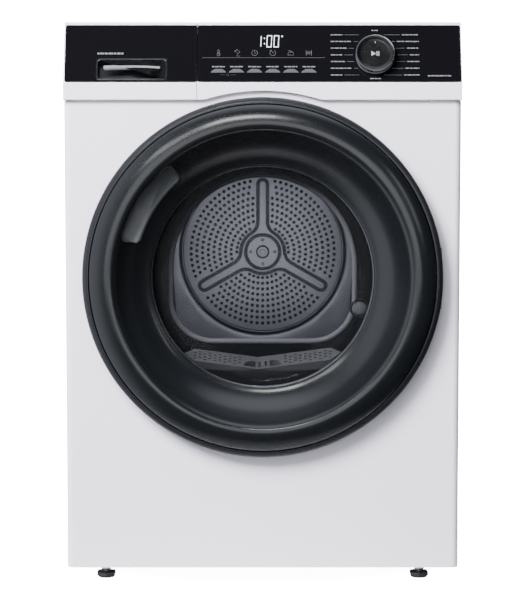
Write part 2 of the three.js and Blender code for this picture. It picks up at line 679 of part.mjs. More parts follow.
// The bulkhead: throat wall, rear wall with the opening, drum collar and filter pocket.
addPiece(cabinet, "front_bulkhead", cut(
  join(
    turnedY([
      [THROAT_RADIUS, FRONT_Y + SHEET + GAP],
      [THROAT_RADIUS + 4, FRONT_Y + SHEET + GAP],
      [THROAT_RADIUS + 30, -226],
      [COLLAR.outer + 24, -204],
      [COLLAR.outer + 24, THROAT_BACK_Y + 4],
      [100, THROAT_BACK_Y + 4],
      [100, THROAT_BACK_Y],
      [THROAT_RADIUS - 6, THROAT_BACK_Y],
      [THROAT_RADIUS, -200],
      [THROAT_RADIUS, FRONT_Y + SHEET + GAP],
    ], 0, DOOR_Z, DOOR_FLATS),
    barY(0, DOOR_Z, 102, THROAT_BACK_Y, THROAT_BACK_Y + 4, DOOR_FLATS),
    ringY(0, DRUM_Z, COLLAR.inner, COLLAR.outer, THROAT_BACK_Y + 2, COLLAR.y1, DRUM_FLATS),
    block(-FILTER.half - 6, FILTER.half + 6, FILTER.y0 - 5, FILTER.y1 + 4, FILTER.z0 - 5, 316),
  ),
  frontPlate(openingShape(0), THROAT_BACK_Y - 10, COLLAR.y1 + 10, 10),
  filterPocket(1, 500),
  barY(LAMP_SPOT.x, LAMP_SPOT.z, LAMP_SPOT.radius + GAP, THROAT_BACK_Y - 2, THROAT_BACK_Y + 6),
  latchRoom,
), BLACK_SATIN);

addPiece(cabinet, "drum_lamp",
  barY(LAMP_SPOT.x, LAMP_SPOT.z, LAMP_SPOT.radius, THROAT_BACK_Y - 3, THROAT_BACK_Y + 8), LAMP);

// The filter frame's top is bowed like a smile and carries two finger hollows and a web.
function filterTopShape() {
  const radius = (FILTER.half ** 2 + FILTER.sag ** 2) / (2 * FILTER.sag);
  const turn = Math.asin(FILTER.half / radius);
  const shape = new THREE.Shape();
  shape.absarc(0, FILTER.top + radius, radius, -Math.PI / 2 - turn, -Math.PI / 2 + turn);
  shape.lineTo(FILTER.half, FILTER.z0);
  shape.lineTo(-FILTER.half, FILTER.z0);
  return shape;
}
const fingerHollow = (x) => block(x - 8, x + 8, FILTER.y0 + 4, FILTER.y1 - 7,
  FILTER.top - 20, FILTER.top + 12);
const sieveY = (FILTER.y0 + FILTER.y1) / 2;
const sieve = {
  x0: -FILTER.half + 8, x1: FILTER.half - 8, z0: FILTER.z0 + 8, z1: FILTER.top - 26,
};
addPiece(cabinet, "lint_filter_frame", cut(
  frontPlate(filterTopShape(), FILTER.y0, FILTER.y1, 16),
  fingerHollow(-20),
  fingerHollow(20),
  block(sieve.x0, sieve.x1, FILTER.y0 - 1, FILTER.y1 + 1, sieve.z0, sieve.z1),
), LIGHT_PLASTIC);
addPiece(cabinet, "lint_filter_sieve", block(
  sieve.x0 + GAP, sieve.x1 - GAP, sieveY - 3, sieveY + 3, sieve.z0 + GAP, sieve.z1 - GAP,
), FINS);

addPiece(cabinet, "front_felt_seal",
  ringY(0, DRUM_Z, COLLAR.outer + GAP, COLLAR.outer + 6.5, DRUM_FRONT_Y - 8, COLLAR.y1, DRUM_FLATS),
  FELT);

// ---- drum ----

const DRUM_WALL = 2;
addPiece(drum, "drum_shell", turnedY([
  [DRUM_RADIUS, DRUM_FRONT_Y],
  [DRUM_RADIUS, DRUM_BACK_Y],
  [DRUM_RADIUS - DRUM_WALL, DRUM_BACK_Y],
  [DRUM_RADIUS - DRUM_WALL, DRUM_FRONT_Y + DRUM_WALL],
  [DRUM_RADIUS - 14, DRUM_FRONT_Y + DRUM_WALL],
  [DRUM_RADIUS - 14, DRUM_FRONT_Y],
  [DRUM_RADIUS, DRUM_FRONT_Y],
], 0, DRUM_Z, DRUM_FLATS), STEEL);

// The back wall is a dished plate with a flat middle disc, which the air comes through.
const BACK_DISC_RADIUS = 137;
addPiece(drum, "drum_back_wall", turnedY([
  [0, DRUM_BACK_Y - DRUM_WALL],
  [BACK_DISC_RADIUS, DRUM_BACK_Y - DRUM_WALL],
  [BACK_DISC_RADIUS + 5, DRUM_BACK_Y - 10],
  [DRUM_RADIUS - 12, DRUM_BACK_Y - 18],
  [DRUM_RADIUS - DRUM_WALL - GAP, DRUM_BACK_Y - 10],
  [DRUM_RADIUS - DRUM_WALL - GAP, DRUM_BACK_Y - 4],
  [DRUM_RADIUS - 12, DRUM_BACK_Y - 16],
  [BACK_DISC_RADIUS + 6.5, DRUM_BACK_Y - 8],
  [BACK_DISC_RADIUS + 1, DRUM_BACK_Y],
  [0, DRUM_BACK_Y],
], 0, DRUM_Z, DRUM_FLATS), STEEL);

// Three hollow lifters, each a rounded ridge along the drum's wall.
const LIFTER = { half: 34, height: 58, y0: DRUM_FRONT_Y + 18, y1: DRUM_BACK_Y - 26 };
function lifter(turn) {
  const foot = DRUM_RADIUS - DRUM_WALL - 2;
  const footHalf = Math.asin(LIFTER.half / foot);
  const shape = new THREE.Shape();
  shape.absarc(0, 0, foot, -Math.PI / 2 - footHalf, -Math.PI / 2 + footHalf);
  shape.lineTo(12, -foot + LIFTER.height - 8);
  shape.absarc(0, -foot + LIFTER.height - 12, 12, 0.3, Math.PI - 0.3);
  const ridge = new THREE.ExtrudeGeometry(shape, {
    ...STRAIGHT, curveSegments: 5, depth: LIFTER.y1 - LIFTER.y0,
  });
  ridge.rotateX(Math.PI / 2).translate(0, LIFTER.y1, 0).rotateY(turn);
  return solid(ridge.translate(0, 0, DRUM_Z));
}
for (const [index, name] of ["lifter_a", "lifter_b", "lifter_c"].entries())
  addPiece(drum, name, lifter(Math.PI / 3 + (index * 2 * Math.PI) / 3), DARK_PLASTIC);

const SHAFT_END_Y = REAR_Y + 16;
addPiece(drum, "drum_shaft", turnedY([
  [0, DRUM_BACK_Y + GAP],
  [44, DRUM_BACK_Y + GAP],
  [44, DRUM_BACK_Y + 4],
  [SHAFT_RADIUS + 6, DRUM_BACK_Y + 10],
  [SHAFT_RADIUS, DRUM_BACK_Y + 16],
  [SHAFT_RADIUS, SHAFT_END_Y],
  [0, SHAFT_END_Y],
], 0, DRUM_Z, 24), STEEL);
addPiece(cabinet, "rear_bearing", turnedY([
  [SHAFT_RADIUS + GAP, REAR_Y - 12],
  [25.5, REAR_Y - 12],
  [25.5, REAR_Y + GAP],
  [40, REAR_Y + GAP],
  [40, REAR_Y + 5],
  [24, REAR_Y + 12],
  [SHAFT_RADIUS + GAP, REAR_Y + 12],
  [SHAFT_RADIUS + GAP, REAR_Y - 12],
], 0, DRUM_Z, 24), ZINC);

// ---- support rollers ----

const rollerReach = DRUM_RADIUS + ROLLER_RADIUS + GAP;
const ROLLER_Y = { y0: -160, y1: -138 };
for (const [side, word] of [[-1, "left"], [1, "right"]]) {
  const x = side * rollerReach * Math.sin(ROLLER_ANGLE);
  const z = DRUM_Z - rollerReach * Math.cos(ROLLER_ANGLE);
  const rollerGroup = assembly(dryer, x, 0, z);
  addPiece(rollerGroup, `${word}_roller`,
    ringY(x, z, 6 + GAP, ROLLER_RADIUS, ROLLER_Y.y0, ROLLER_Y.y1, 24), RUBBER);
  addPiece(base, `${word}_roller_axle`, join(
    barY(x, z, 6, -194, ROLLER_Y.y1 + 6, 16),
    barY(x, z, 11, -194, ROLLER_Y.y0 - GAP, 16),
  ), STEEL);
}

// ---- drive ----

const MOTOR_BODY = { radius: 56, y0: -36, y1: 110 };
addPiece(base, "motor", cut(join(
  barY(MOTOR.x, MOTOR.z, MOTOR_BODY.radius, MOTOR_BODY.y0, MOTOR_BODY.y1, 28),
  block(MOTOR.x - 40, MOTOR.x + 40, MOTOR_BODY.y0 + 12, MOTOR_BODY.y1 - 12, 44, MOTOR.z - 20),
), barY(MOTOR.x, MOTOR.z, 8 + GAP, -200, 250)), ZINC);
addPiece(rotor, "motor_pulley", join(
  barY(MOTOR.x, MOTOR.z, 8, BELT_Y - 10, 224, 20),
  barY(MOTOR.x, MOTOR.z, PULLEY_RADIUS, BELT_Y - 8, BELT_Y + 8, 24),
  barY(MOTOR.x, MOTOR.z, PULLEY_RADIUS + 2, BELT_Y - 9, BELT_Y - 7, 24),
), STEEL);

// An outline round two circles, as a belt lies on them.
function beltShape(drumRadius, pulleyRadius) {
  const across = MOTOR.x;
  const down = DRUM_Z - MOTOR.z;
  const reach = Math.hypot(across, down);
  const heading = Math.atan2(-down, across);
  const spread = Math.acos((drumRadius - pulleyRadius) / reach);
  const shape = new THREE.Shape();
  shape.absarc(0, DRUM_Z, drumRadius, heading + spread, heading - spread + 2 * Math.PI);
  shape.absarc(MOTOR.x, MOTOR.z, pulleyRadius, heading - spread, heading + spread);
  return shape;
}
const beltInner = [DRUM_RADIUS + 1.5, PULLEY_RADIUS + GAP + 0.4];
const beltOuter = beltInner.map((radius) => radius + BELT_THICKNESS);
addPiece(base, "drive_belt", cut(
  frontPlate(beltShape(...beltOuter), BELT_Y - 5, BELT_Y + 5, 22),
  frontPlate(beltShape(...beltInner), BELT_Y - 6, BELT_Y + 6, 22),
), RUBBER);

// The idler wheel presses on the belt from inside, on an arm that pivots on a post of the tray.
const IDLER_PIVOT = { x: -29.3, z: 170 };
const idlerGroup = assembly(dryer, IDLER_PIVOT.x, 0, IDLER_PIVOT.z);
const wheelGroup = assembly(idlerGroup, IDLER.x - IDLER_PIVOT.x, 0, IDLER.z - IDLER_PIVOT.z);

// A flat bar with round ends between two points, seen from the front.
function linkShape(from, to, radius) {
  const heading = Math.atan2(to.z - from.z, to.x - from.x);
  const shape = new THREE.Shape();
  shape.absarc(from.x, from.z, radius, heading + Math.PI / 2, heading + 1.5 * Math.PI);
  shape.absarc(to.x, to.z, radius, heading - Math.PI / 2, heading + Math.PI / 2);
  return shape;
}
addPiece(idlerGroup, "idler_arm", cut(
  join(
    frontPlate(linkShape(IDLER_PIVOT, IDLER, 9), BELT_Y + 12, BELT_Y + 16),
    barY(IDLER.x, IDLER.z, 3, BELT_Y - 9, BELT_Y + 15, 16),
  ),
  barY(IDLER_PIVOT.x, IDLER_PIVOT.z, 5 + GAP, BELT_Y, BELT_Y + 30, 20),
), ZINC);
addPiece(wheelGroup, "idler_wheel",
  ringY(IDLER.x, IDLER.z, 3 + GAP, IDLER.radius, BELT_Y - 8, BELT_Y + 8, 20), DARK_PLASTIC);

// ---- air path and heat pump in the base ----

const BLOWER = { radius: 72, y0: 196, y1: 226 };
addPiece(rotor, "blower_wheel", cut(
  barY(MOTOR.x, MOTOR.z, BLOWER.radius, BLOWER.y0, BLOWER.y1, 28),
  barY(MOTOR.x, MOTOR.z, 8 + GAP, BLOWER.y0 - 1, BLOWER.y1 + 1, 20),
  ringY(MOTOR.x, MOTOR.z, 24, 50, BLOWER.y0 - 1, BLOWER.y1 - 4, 20),
), DARK_PLASTIC);
addPiece(base, "blower_housing", cut(
  join(
    barY(MOTOR.x, MOTOR.z, 80, BLOWER.y0 - 8, BLOWER.y1 + 12, 28),
    block(MOTOR.x - 80, MOTOR.x - 40, BLOWER.y0 - 8, BLOWER.y1 + 12, MOTOR.z - 60, MOTOR.z),
  ),
  barY(MOTOR.x, MOTOR.z, 76, BLOWER.y0 - 4, BLOWER.y1 + 8, 28),
  barY(MOTOR.x, MOTOR.z, 46, BLOWER.y0 - 20, BLOWER.y1 + 20, 24),
), DARK_PLASTIC);

const EXCHANGER = { x0: -276, x1: -92, z0: 40, z1: 165 };
for (const [name, y0, y1] of [["evaporator", -150, -70], ["condenser", -50, 80]]) {
  const core = block(EXCHANGER.x0 + 12, EXCHANGER.x1 - 12, y0, y1, EXCHANGER.z0, EXCHANGER.z1);
  const ends = [EXCHANGER.x0, EXCHANGER.x1 - 14].map((x) =>
    block(x, x + 14, y0 + 8, y1 - 8, EXCHANGER.z0 + 6, EXCHANGER.z1 - 6),
  );
  addPiece(base, name, join(core, ...ends), FINS);
}

const COMPRESSOR = { x: 210, y: 150, radius: 56, z0: 30, z1: 200 };
addPiece(base, "compressor", solid(lathe([
  [0, COMPRESSOR.z0],
  [COMPRESSOR.radius + 6, COMPRESSOR.z0],
  [COMPRESSOR.radius + 6, COMPRESSOR.z0 + 6],
  [COMPRESSOR.radius, COMPRESSOR.z0 + 10],
  [COMPRESSOR.radius, COMPRESSOR.z1 - 24],
  [COMPRESSOR.radius - 12, COMPRESSOR.z1 - 8],
  [COMPRESSOR.radius - 34, COMPRESSOR.z1],
  [0, COMPRESSOR.z1],
], 24).rotateX(Math.PI / 2).translate(COMPRESSOR.x, COMPRESSOR.y, 0)), DARK_PLASTIC);

// The compressor's cooling fan sits in a square frame against the right side panel.
const fanGroup = assembly(dryer, COOLER_FAN.x, COOLER_FAN.y, COOLER_FAN.z);
const FAN_FRAME_HALF = 54;
addPiece(base, "cooling_fan_frame", cut(
  block(
    COOLER_FAN.x + 4, COOLER_FAN.x + 26, COOLER_FAN.y - FAN_FRAME_HALF,
    COOLER_FAN.y + FAN_FRAME_HALF, COOLER_FAN.z - FAN_FRAME_HALF, COOLER_FAN.z + FAN_FRAME_HALF,
  ),
  barX(COOLER_FAN.y, COOLER_FAN.z, COOLER_FAN.radius + 3, COOLER_FAN.x, COOLER_FAN.x + 20, 28),
  ...[0, 1, 2].map((i) => barX(
    COOLER_FAN.y + 26 * Math.cos((i * 2 * Math.PI) / 3),
    COOLER_FAN.z + 26 * Math.sin((i * 2 * Math.PI) / 3),
    15, COOLER_FAN.x + 10, COOLER_FAN.x + 40, 12,
  )),
), DARK_PLASTIC);

function fanBlade(turn) {
  const blade = new THREE.BoxGeometry(2.5, 16, COOLER_FAN.radius - 14);
  blade.rotateZ(0.6).translate(0, 0, (COOLER_FAN.radius - 14) / 2 + 12).rotateX(turn);
  return solid(blade.translate(COOLER_FAN.x + 13, COOLER_FAN.y, COOLER_FAN.z));
}
addPiece(fanGroup, "cooling_fan", join(
  barX(COOLER_FAN.y, COOLER_FAN.z, 15, COOLER_FAN.x + 6, COOLER_FAN.x + 19, 16),
  ...[0, 1, 2, 3, 4, 5, 6].map((i) => fanBlade((i * 2 * Math.PI) / 7)),
), BLACK_SATIN);

// ---- base tray and feet ----

const TRAY = { half: 290, y0: -236, y1: REAR_Y - SHEET - GAP, z0: 20, floor: 6, height: 60 };
const STUD_RADIUS = 5;
const footPlaces = [
  ["front_left_foot", -FOOT.x, FOOT.frontY],
  ["front_right_foot", FOOT.x, FOOT.frontY],
  ["rear_left_foot", -FOOT.x, FOOT.rearY],
  ["rear_right_foot", FOOT.x, FOOT.rearY],
];
const footHoles = footPlaces.map(([, x, y]) => barZ(x, y, STUD_RADIUS + GAP, 0, 62));
const tray = cut(
  block(-TRAY.half, TRAY.half, TRAY.y0 - 16, TRAY.y1, TRAY.z0, TRAY.z0 + TRAY.height),
  block(-TRAY.half + 4, TRAY.half - 4, TRAY.y0 + 22, TRAY.y1 - 4,
    TRAY.z0 + TRAY.floor, TRAY.z0 + TRAY.height + 1),
  ...footHoles,
);
const idlerPost = join(
  block(IDLER_PIVOT.x - 6, IDLER_PIVOT.x + 6, BELT_Y - 30, BELT_Y - 16,
    TRAY.z0 + 2, IDLER_PIVOT.z + 7),
  barY(IDLER_PIVOT.x, IDLER_PIVOT.z, 5, BELT_Y - 28, BELT_Y + 17),
);
addPiece(base, "base_tray", join(tray, idlerPost), GREY_PLASTIC);

function hexagon(x, y, across) {
  const shape = new THREE.Shape();
  const reach = across / Math.sqrt(3);
  for (let i = 0; i < 6; i++) {
    const turn = (i * Math.PI) / 3 + Math.PI / 6;
    const corner = [x + reach * Math.cos(turn), y + reach * Math.sin(turn)];
    if (i === 0) shape.moveTo(...corner);
    else shape.lineTo(...corner);
  }
  return shape;
}
for (const [name, x, y] of footPlaces) {
  const footGroup = assembly(dryer, x, y, 0);
  addPiece(footGroup, name, join(
    planPlate(hexagon(x, y, FOOT.across), 0, FOOT.height),
    barZ(x, y, 9, FOOT.height - 1, FOOT.height + 4, 20),
    barZ(x, y, STUD_RADIUS, FOOT.height - 1, 56, 16),
  ), BLACK_SATIN);
}

export default dryer;
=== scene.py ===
# A free-standing heat-pump clothes dryer with a round door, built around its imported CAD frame.

import math

import bpy
from mathutils import Matrix, Vector


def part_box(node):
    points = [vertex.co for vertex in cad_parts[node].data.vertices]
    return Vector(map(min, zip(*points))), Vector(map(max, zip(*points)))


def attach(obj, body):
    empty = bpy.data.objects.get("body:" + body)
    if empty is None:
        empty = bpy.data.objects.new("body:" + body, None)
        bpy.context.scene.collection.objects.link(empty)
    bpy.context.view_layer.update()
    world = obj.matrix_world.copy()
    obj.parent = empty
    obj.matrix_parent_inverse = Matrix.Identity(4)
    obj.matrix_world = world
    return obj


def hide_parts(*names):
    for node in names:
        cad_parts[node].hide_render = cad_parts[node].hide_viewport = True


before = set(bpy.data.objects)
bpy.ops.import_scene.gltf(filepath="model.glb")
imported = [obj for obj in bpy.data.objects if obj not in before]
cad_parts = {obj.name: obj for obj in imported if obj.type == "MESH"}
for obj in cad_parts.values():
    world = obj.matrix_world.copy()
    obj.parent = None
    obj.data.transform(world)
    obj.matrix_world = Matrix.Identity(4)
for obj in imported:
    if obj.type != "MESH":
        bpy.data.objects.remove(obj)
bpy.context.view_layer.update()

MM = 0.001


# ---- places, all from the frame ----

def low(node):
    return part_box(node)[0]


def high(node):
    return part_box(node)[1]


def middle(node):
    return (low(node) + high(node)) / 2


DOOR_CENTRE = Vector((0, 0, middle("door_glass").z))
DOOR_RADIUS = high("door_band").z - DOOR_CENTRE.z
DOOR_REAR_Y = high("door_band").y
CREST_Y = low("door_ring").y
DRUM_Z = middle("drum_shell").z
DRUM_RADIUS = high("drum_shell").z - DRUM_Z
DRUM_FRONT_Y = low("drum_shell").y
DRUM_BACK_Y = high("drum_shell").y
PANEL_FACE_Y = low("front_panel").y
REAR_Y = high("rear_panel").y

PANEL_LEAN = math.radians(20)
PANE = 2 * MM
GLASS_FOOT = Vector((0, low("control_glass").y, low("control_glass").z + PANE * math.sin(PANEL_LEAN)))
LEAN_MATRIX = Matrix.Translation(GLASS_FOOT) @ Matrix.Rotation(math.pi / 2 - PANEL_LEAN, 4, "X")
KNOB_CENTRE = LEAN_MATRIX.inverted() @ middle("knob_ring")


# ---- modelling by hand ----

def only(piece):
    """Makes one object the active and only selected one."""
    if bpy.context.mode != "OBJECT":
        bpy.ops.object.mode_set(mode="OBJECT")
    bpy.ops.object.select_all(action="DESELECT")
    piece.select_set(True)
    bpy.context.view_layer.objects.active = piece


def nothing():
    if bpy.context.mode != "OBJECT":
        bpy.ops.object.mode_set(mode="OBJECT")
    bpy.ops.object.select_all(action="DESELECT")


def settle(piece):
    """Puts the object's place, turn and size into its mesh."""
    only(piece)
    bpy.ops.object.transform_apply(location=True, rotation=True, scale=True)
    return piece


def block(start, end):
    nothing()
    start, end = Vector(start), Vector(end)
    bpy.ops.mesh.primitive_cube_add(size=1, location=(start + end) / 2, scale=end - start)
    return settle(bpy.context.object)


def softened_path(points, rounds=2):
    """Cuts the corners of a profile again and again, which rounds it."""
    for _ in range(rounds):
        cut = []
        for (ax, ay), (bx, by) in zip(points, points[1:]):
            cut.append((ax * 0.75 + bx * 0.25, ay * 0.75 + by * 0.25))
            cut.append((ax * 0.25 + bx * 0.75, ay * 0.25 + by * 0.75))
        points = [points[0], *cut, points[-1]]
    return points


def drawn(points):
    """A chain of edges through the points, drawn by extruding one vertex."""
    nothing()
    bpy.ops.mesh.primitive_plane_add(size=MM, location=(0, 0, 0))
    piece = bpy.context.object
    bpy.ops.object.mode_set(mode="EDIT")
    bpy.ops.mesh.select_all(action="SELECT")
    bpy.ops.mesh.merge(type="CENTER")
    bpy.ops.transform.translate(value=points[0])
    for start, end in zip(points, points[1:]):
        bpy.ops.mesh.extrude_region_move(
            TRANSFORM_OT_translate={"value": Vector(end) - Vector(start)})
    return piece


def close_up():
    """Merges doubles and turns all faces outwards. Works in edit mode and leaves it."""
    bpy.ops.mesh.select_all(action="SELECT")
    bpy.ops.mesh.remove_doubles(threshold=0.00001)
    bpy.ops.mesh.normals_make_consistent(inside=False)
    bpy.ops.object.mode_set(mode="OBJECT")


def turned(profile, centre=(0, 0), steps=128, matrix=None):
    """A profile of (radius, y) points turned about an axis along Y through x, z."""
    x, z = centre
    piece = drawn([(x + radius, y, z) for radius, y in profile])
    bpy.ops.mesh.select_all(action="SELECT")
    bpy.ops.mesh.spin(steps=steps, angle=2 * math.pi, center=(x, 0, z), axis=(0, 1, 0))
    close_up()
    if matrix is not None:
        piece.matrix_world = matrix
        settle(piece)
    return piece


def joined(pieces):
    nothing()
    for piece in pieces:
        piece.select_set(True)
    bpy.context.view_layer.objects.active = pieces[0]
    if len(pieces) > 1:
        bpy.ops.object.join()
    return bpy.context.object


def carved(piece, cutter, operation="DIFFERENCE", solver="EXACT"):
    only(piece)
    modifier = piece.modifiers.new("carve", "BOOLEAN")
    modifier.operation = operation
    modifier.solver = solver
    modifier.object = cutter
    bpy.ops.object.modifier_apply(modifier=modifier.name)
    bpy.data.objects.remove(cutter)
    return piece


def edged(piece, width, segments=2, angle=30):
    """Rounds the piece's sharp edges."""
    only(piece)
    modifier = piece.modifiers.new("edge", "BEVEL")
    modifier.width = width
    modifier.segments = segments
    modifier.limit_method = "ANGLE"
    modifier.angle_limit = math.radians(angle)
    bpy.ops.object.modifier_apply(modifier=modifier.name)
    return piece


def smooth(piece, angle=35):
    only(piece)
    bpy.ops.object.shade_smooth_by_angle(angle=math.radians(angle))
    return piece


def flat_kept(piece):
    """Keeps broad flat faces flat in the light, beside their rounded edges."""
    only(piece)
    modifier = piece.modifiers.new("flat", "WEIGHTED_NORMAL")
    modifier.keep_sharp = True
    bpy.ops.object.modifier_apply(modifier=modifier.name)
    return piece


def wires(routes, radius, matrix=None, closed=False, resolution=2):
    """Round strokes along routes of points, as one mesh."""
    data = bpy.data.curves.new("strokes", "CURVE")
    data.dimensions = "3D"
    data.bevel_depth = radius
    data.bevel_resolution = resolution
    data.use_fill_caps = True
    for route in routes:
        spline = data.splines.new("POLY")
        spline.points.add(len(route) - 1)
        for point, place in zip(spline.points, route):
            point.co = (*place, 1) if len(place) == 3 else (*place, 0, 1)
        spline.use_cyclic_u = closed
    piece = bpy.data.objects.new("strokes", data)
    bpy.context.scene.collection.objects.link(piece)
    only(piece)
    bpy.ops.object.convert(target="MESH")
    piece = bpy.context.object
    if matrix is not None:
        piece.matrix_world = matrix
    return settle(piece)


def softened(node, width, segments=2, angle=30):
    """A copy of a CAD node with its triangles merged into clean faces and its edges rounded."""
    source = bpy.data.objects[node]
    piece = source.copy()
    piece.data = source.data.copy()
    for key in list(piece.keys()):
        del piece[key]
    bpy.context.scene.collection.objects.link(piece)
    only(piece)
    bpy.ops.object.mode_set(mode="EDIT")
    bpy.ops.mesh.select_all(action="SELECT")
    bpy.ops.mesh.remove_doubles(threshold=0.00001)
    bpy.ops.mesh.dissolve_limited(angle_limit=math.radians(1))
    bpy.ops.object.mode_set(mode="OBJECT")
    if width:
        edged(piece, width, segments, angle)
    return flat_kept(smooth(piece, angle))


def finished(piece, name, body, material, replaces=()):
    """Names a piece, gives it its finish, and lets it ride on its body."""
    piece.name = name
    piece.data.name = name
    piece.data.materials.clear()
    piece.data.materials.append(material)
    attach(piece, body)
    if replaces:
        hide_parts(*replaces)
    return piece


# ---- shader maths ----

class Number:
    """A value on a socket. Arithmetic on it adds Math nodes."""

    def __init__(self, maker, socket):
        self.maker = maker
        self.socket = socket

    def with_other(self, operation, other, swapped=False):
        inputs = {0: other, 1: self} if swapped else {0: self, 1: other}
        return self.maker.node("ShaderNodeMath", {"operation": operation}, inputs)[0]

    def __add__(self, other):
        return self.with_other("ADD", other)

    def __sub__(self, other):
        return self.with_other("SUBTRACT", other)

    def __rsub__(self, other):
        return self.with_other("SUBTRACT", other, swapped=True)

    def __mul__(self, other):
        return self.with_other("MULTIPLY", other)

    def __truediv__(self, other):
        return self.with_other("DIVIDE", other)

    __radd__ = __add__
    __rmul__ = __mul__


class Finish:
    """One material with a Principled shader, made node by node."""

    def __init__(self, name, **settings):
        self.material = bpy.data.materials.new(name)
        self.material.use_nodes = True
        self.tree = self.material.node_tree
        self.shader = self.tree.nodes["Principled BSDF"]
        self.place = self.node("ShaderNodeTexCoord", {}, {})["Object"]
        self.set(**settings)

    def set(self, **values):
        for key, value in values.items():
            self.feed(self.shader.inputs[key.replace("_", " ")], value)
        return self

    def feed(self, socket, value):
        if isinstance(value, Number):
            self.tree.links.new(value.socket, socket)
        elif isinstance(value, (tuple, list)) and len(value) == 3 and len(socket.default_value) == 4:
            socket.default_value = (*value, 1)
        else:
            socket.default_value = value

    def node(self, kind, settings, inputs):
        made = self.tree.nodes.new(kind)
        for key, value in settings.items():
            if key == "stops":
                ramp = made.color_ramp
                while len(ramp.elements) < len(value):
                    ramp.elements.new(0.5)
                for element, (position, colour) in zip(ramp.elements, value):
                    element.position = position
                    element.color = (*colour, 1) if len(colour) == 3 else colour
            else:
                setattr(made, key, value)
        for key, value in inputs.items():
            self.feed(made.inputs[key], value)
        outputs = {}
        for index, output in enumerate(made.outputs):
            outputs[index] = outputs[output.name] = Number(self, output)
        return outputs

    def scaled(self, x, y, z, turn=(0, 0, 0), origin=(0, 0, 0)):
        """Object coordinates, moved, turned and scaled along each axis."""
        moved = self.node("ShaderNodeVectorMath", {"operation": "SUBTRACT"},
                          {0: self.place, 1: tuple(origin)})[0]
        return self.node("ShaderNodeMapping", {"vector_type": "POINT"},
                         {"Vector": moved, "Rotation": turn, "Scale": (x, y, z)})[0]

    def noise(self, scale, detail=3.0, vector=None, roughness=0.5):
        return self.node("ShaderNodeTexNoise", {}, {
            "Vector": vector or self.place, "Scale": scale, "Detail": detail,
            "Roughness": roughness})[0]

    def mixed(self, factor, first, second):
        return self.node("ShaderNodeMix", {"data_type": "RGBA"},
                         {0: factor, 6: first, 7: second})[2]

    def between(self, value, start, end, low_out, high_out):
        """Maps a value from one span to another, clamped."""
        return self.node("ShaderNodeMapRange", {}, {
            "Value": value, "From Min": start, "From Max": end,
            "To Min": low_out, "To Max": high_out})[0]

    def bumped(self, height, strength, distance):
        self.set(Normal=self.node("ShaderNodeBump", {}, {
            "Strength": strength, "Distance": distance, "Height": height})[0])
        return self


def rgb(hexadecimal):
    """An sRGB colour as linear values."""
    parts = [int(hexadecimal[i:i + 2], 16) / 255 for i in (0, 2, 4)]
    return tuple(c / 12.92 if c <= 0.04045 else ((c + 0.055) / 1.055) ** 2.4 for c in parts)


def enamel(name, colour, roughness):
    """Sheet steel under smooth enamel, with its faint orange peel."""
    f = Finish(name, Roughness=roughness, Coat_Weight=0.25, Coat_Roughness=0.08)
    cloud = f.noise(6, 2)
    f.set(Base_Color=f.mixed(cloud, colour, tuple(c * 0.975 for c in colour)))
    f.set(Roughness=f.between(f.noise(30, 3), 0.3, 0.7, roughness - 0.03, roughness + 0.04))
    return f.bumped(f.noise(420, 2), 0.05, 0.0004).material


def moulded(name, colour, roughness, grain=2600, depth=0.12, tint=0.94):
    """Injection-moulded plastic with a fine spark-eroded grain."""
    f = Finish(name, Specular_IOR_Level=0.45)
    f.set(Base_Color=f.mixed(f.noise(14, 3), colour, tuple(c * tint for c in colour)))
    f.set(Roughness=f.between(f.noise(55, 4), 0.3, 0.7, roughness - 0.04, roughness + 0.05))
    return f.bumped(f.noise(grain, 2), depth, 0.0001).material


def polished(name, colour, roughness=0.06, coat=1.0, gloss=0.5):
    """High-gloss black plastic or back-painted glass, with faint wipe marks."""
    f = Finish(name, Coat_Weight=coat, Coat_Roughness=0.03, Specular_IOR_Level=gloss)
    wiped = f.noise(5, 4, f.scaled(1, 1, 3.5, (0.4, 0.2, 0.5)))
    f.set(Base_Color=f.mixed(wiped, colour, tuple(c * 1.25 for c in colour)))
    f.set(Roughness=f.between(wiped, 0.35, 0.7, roughness, roughness + 0.05))
    return f.bumped(f.noise(9, 1), 0.02, 0.001).material


def metal(name, colour, roughness, vector_scale=(1, 1, 60), grain=90):
    """Rolled or ground metal, brushed along one direction."""
    f = Finish(name, Metallic=1.0)
    brushed = f.noise(grain, 3, f.scaled(*vector_scale))
    f.set(Base_Color=f.mixed(brushed, colour, tuple(c * 0.86 for c in colour)))
    f.set(Roughness=f.between(brushed, 0.3, 0.7, roughness - 0.06, roughness + 0.08))
    return f.bumped(brushed, 0.06, 0.0003).material


def round_steel(name, colour, roughness):
    """Stainless steel turned about the drum's axis: fine rings in it."""
    f = Finish(name, Metallic=0.9)
    centred = f.scaled(1, 0, 1, origin=(0, 0, DRUM_Z))
    radius = f.node("ShaderNodeVectorMath", {"operation": "LENGTH"}, {0: centred})["Value"]
    rings = f.noise(1.0, 3, f.node("ShaderNodeCombineXYZ", {}, {0: radius * 900})[0])
    cloud = f.noise(9, 3)
    f.set(Base_Color=f.mixed(cloud, colour, tuple(c * 0.9 for c in colour)))
    f.set(Roughness=f.between(rings, 0.3, 0.7, roughness - 0.05, roughness + 0.07))
    return f.bumped(rings, 0.05, 0.0003).material


def galvanised(name, colour):
    """Zinc-coated sheet with its crystal spangle."""
    f = Finish(name, Metallic=0.55)
    spangle = f.node("ShaderNodeTexVoronoi", {"feature": "F1"},
                     {"Vector": f.place, "Scale": 75.0})["Color"]
    grey = f.node("ShaderNodeRGBToBW", {}, {0: spangle})[0]
    f.set(Base_Color=f.mixed(grey, colour, tuple(c * 0.78 for c in colour)))
    f.set(Roughness=f.between(grey, 0, 1, 0.36, 0.52))
    return f.bumped(f.noise(60, 3), 0.05, 0.0004).material


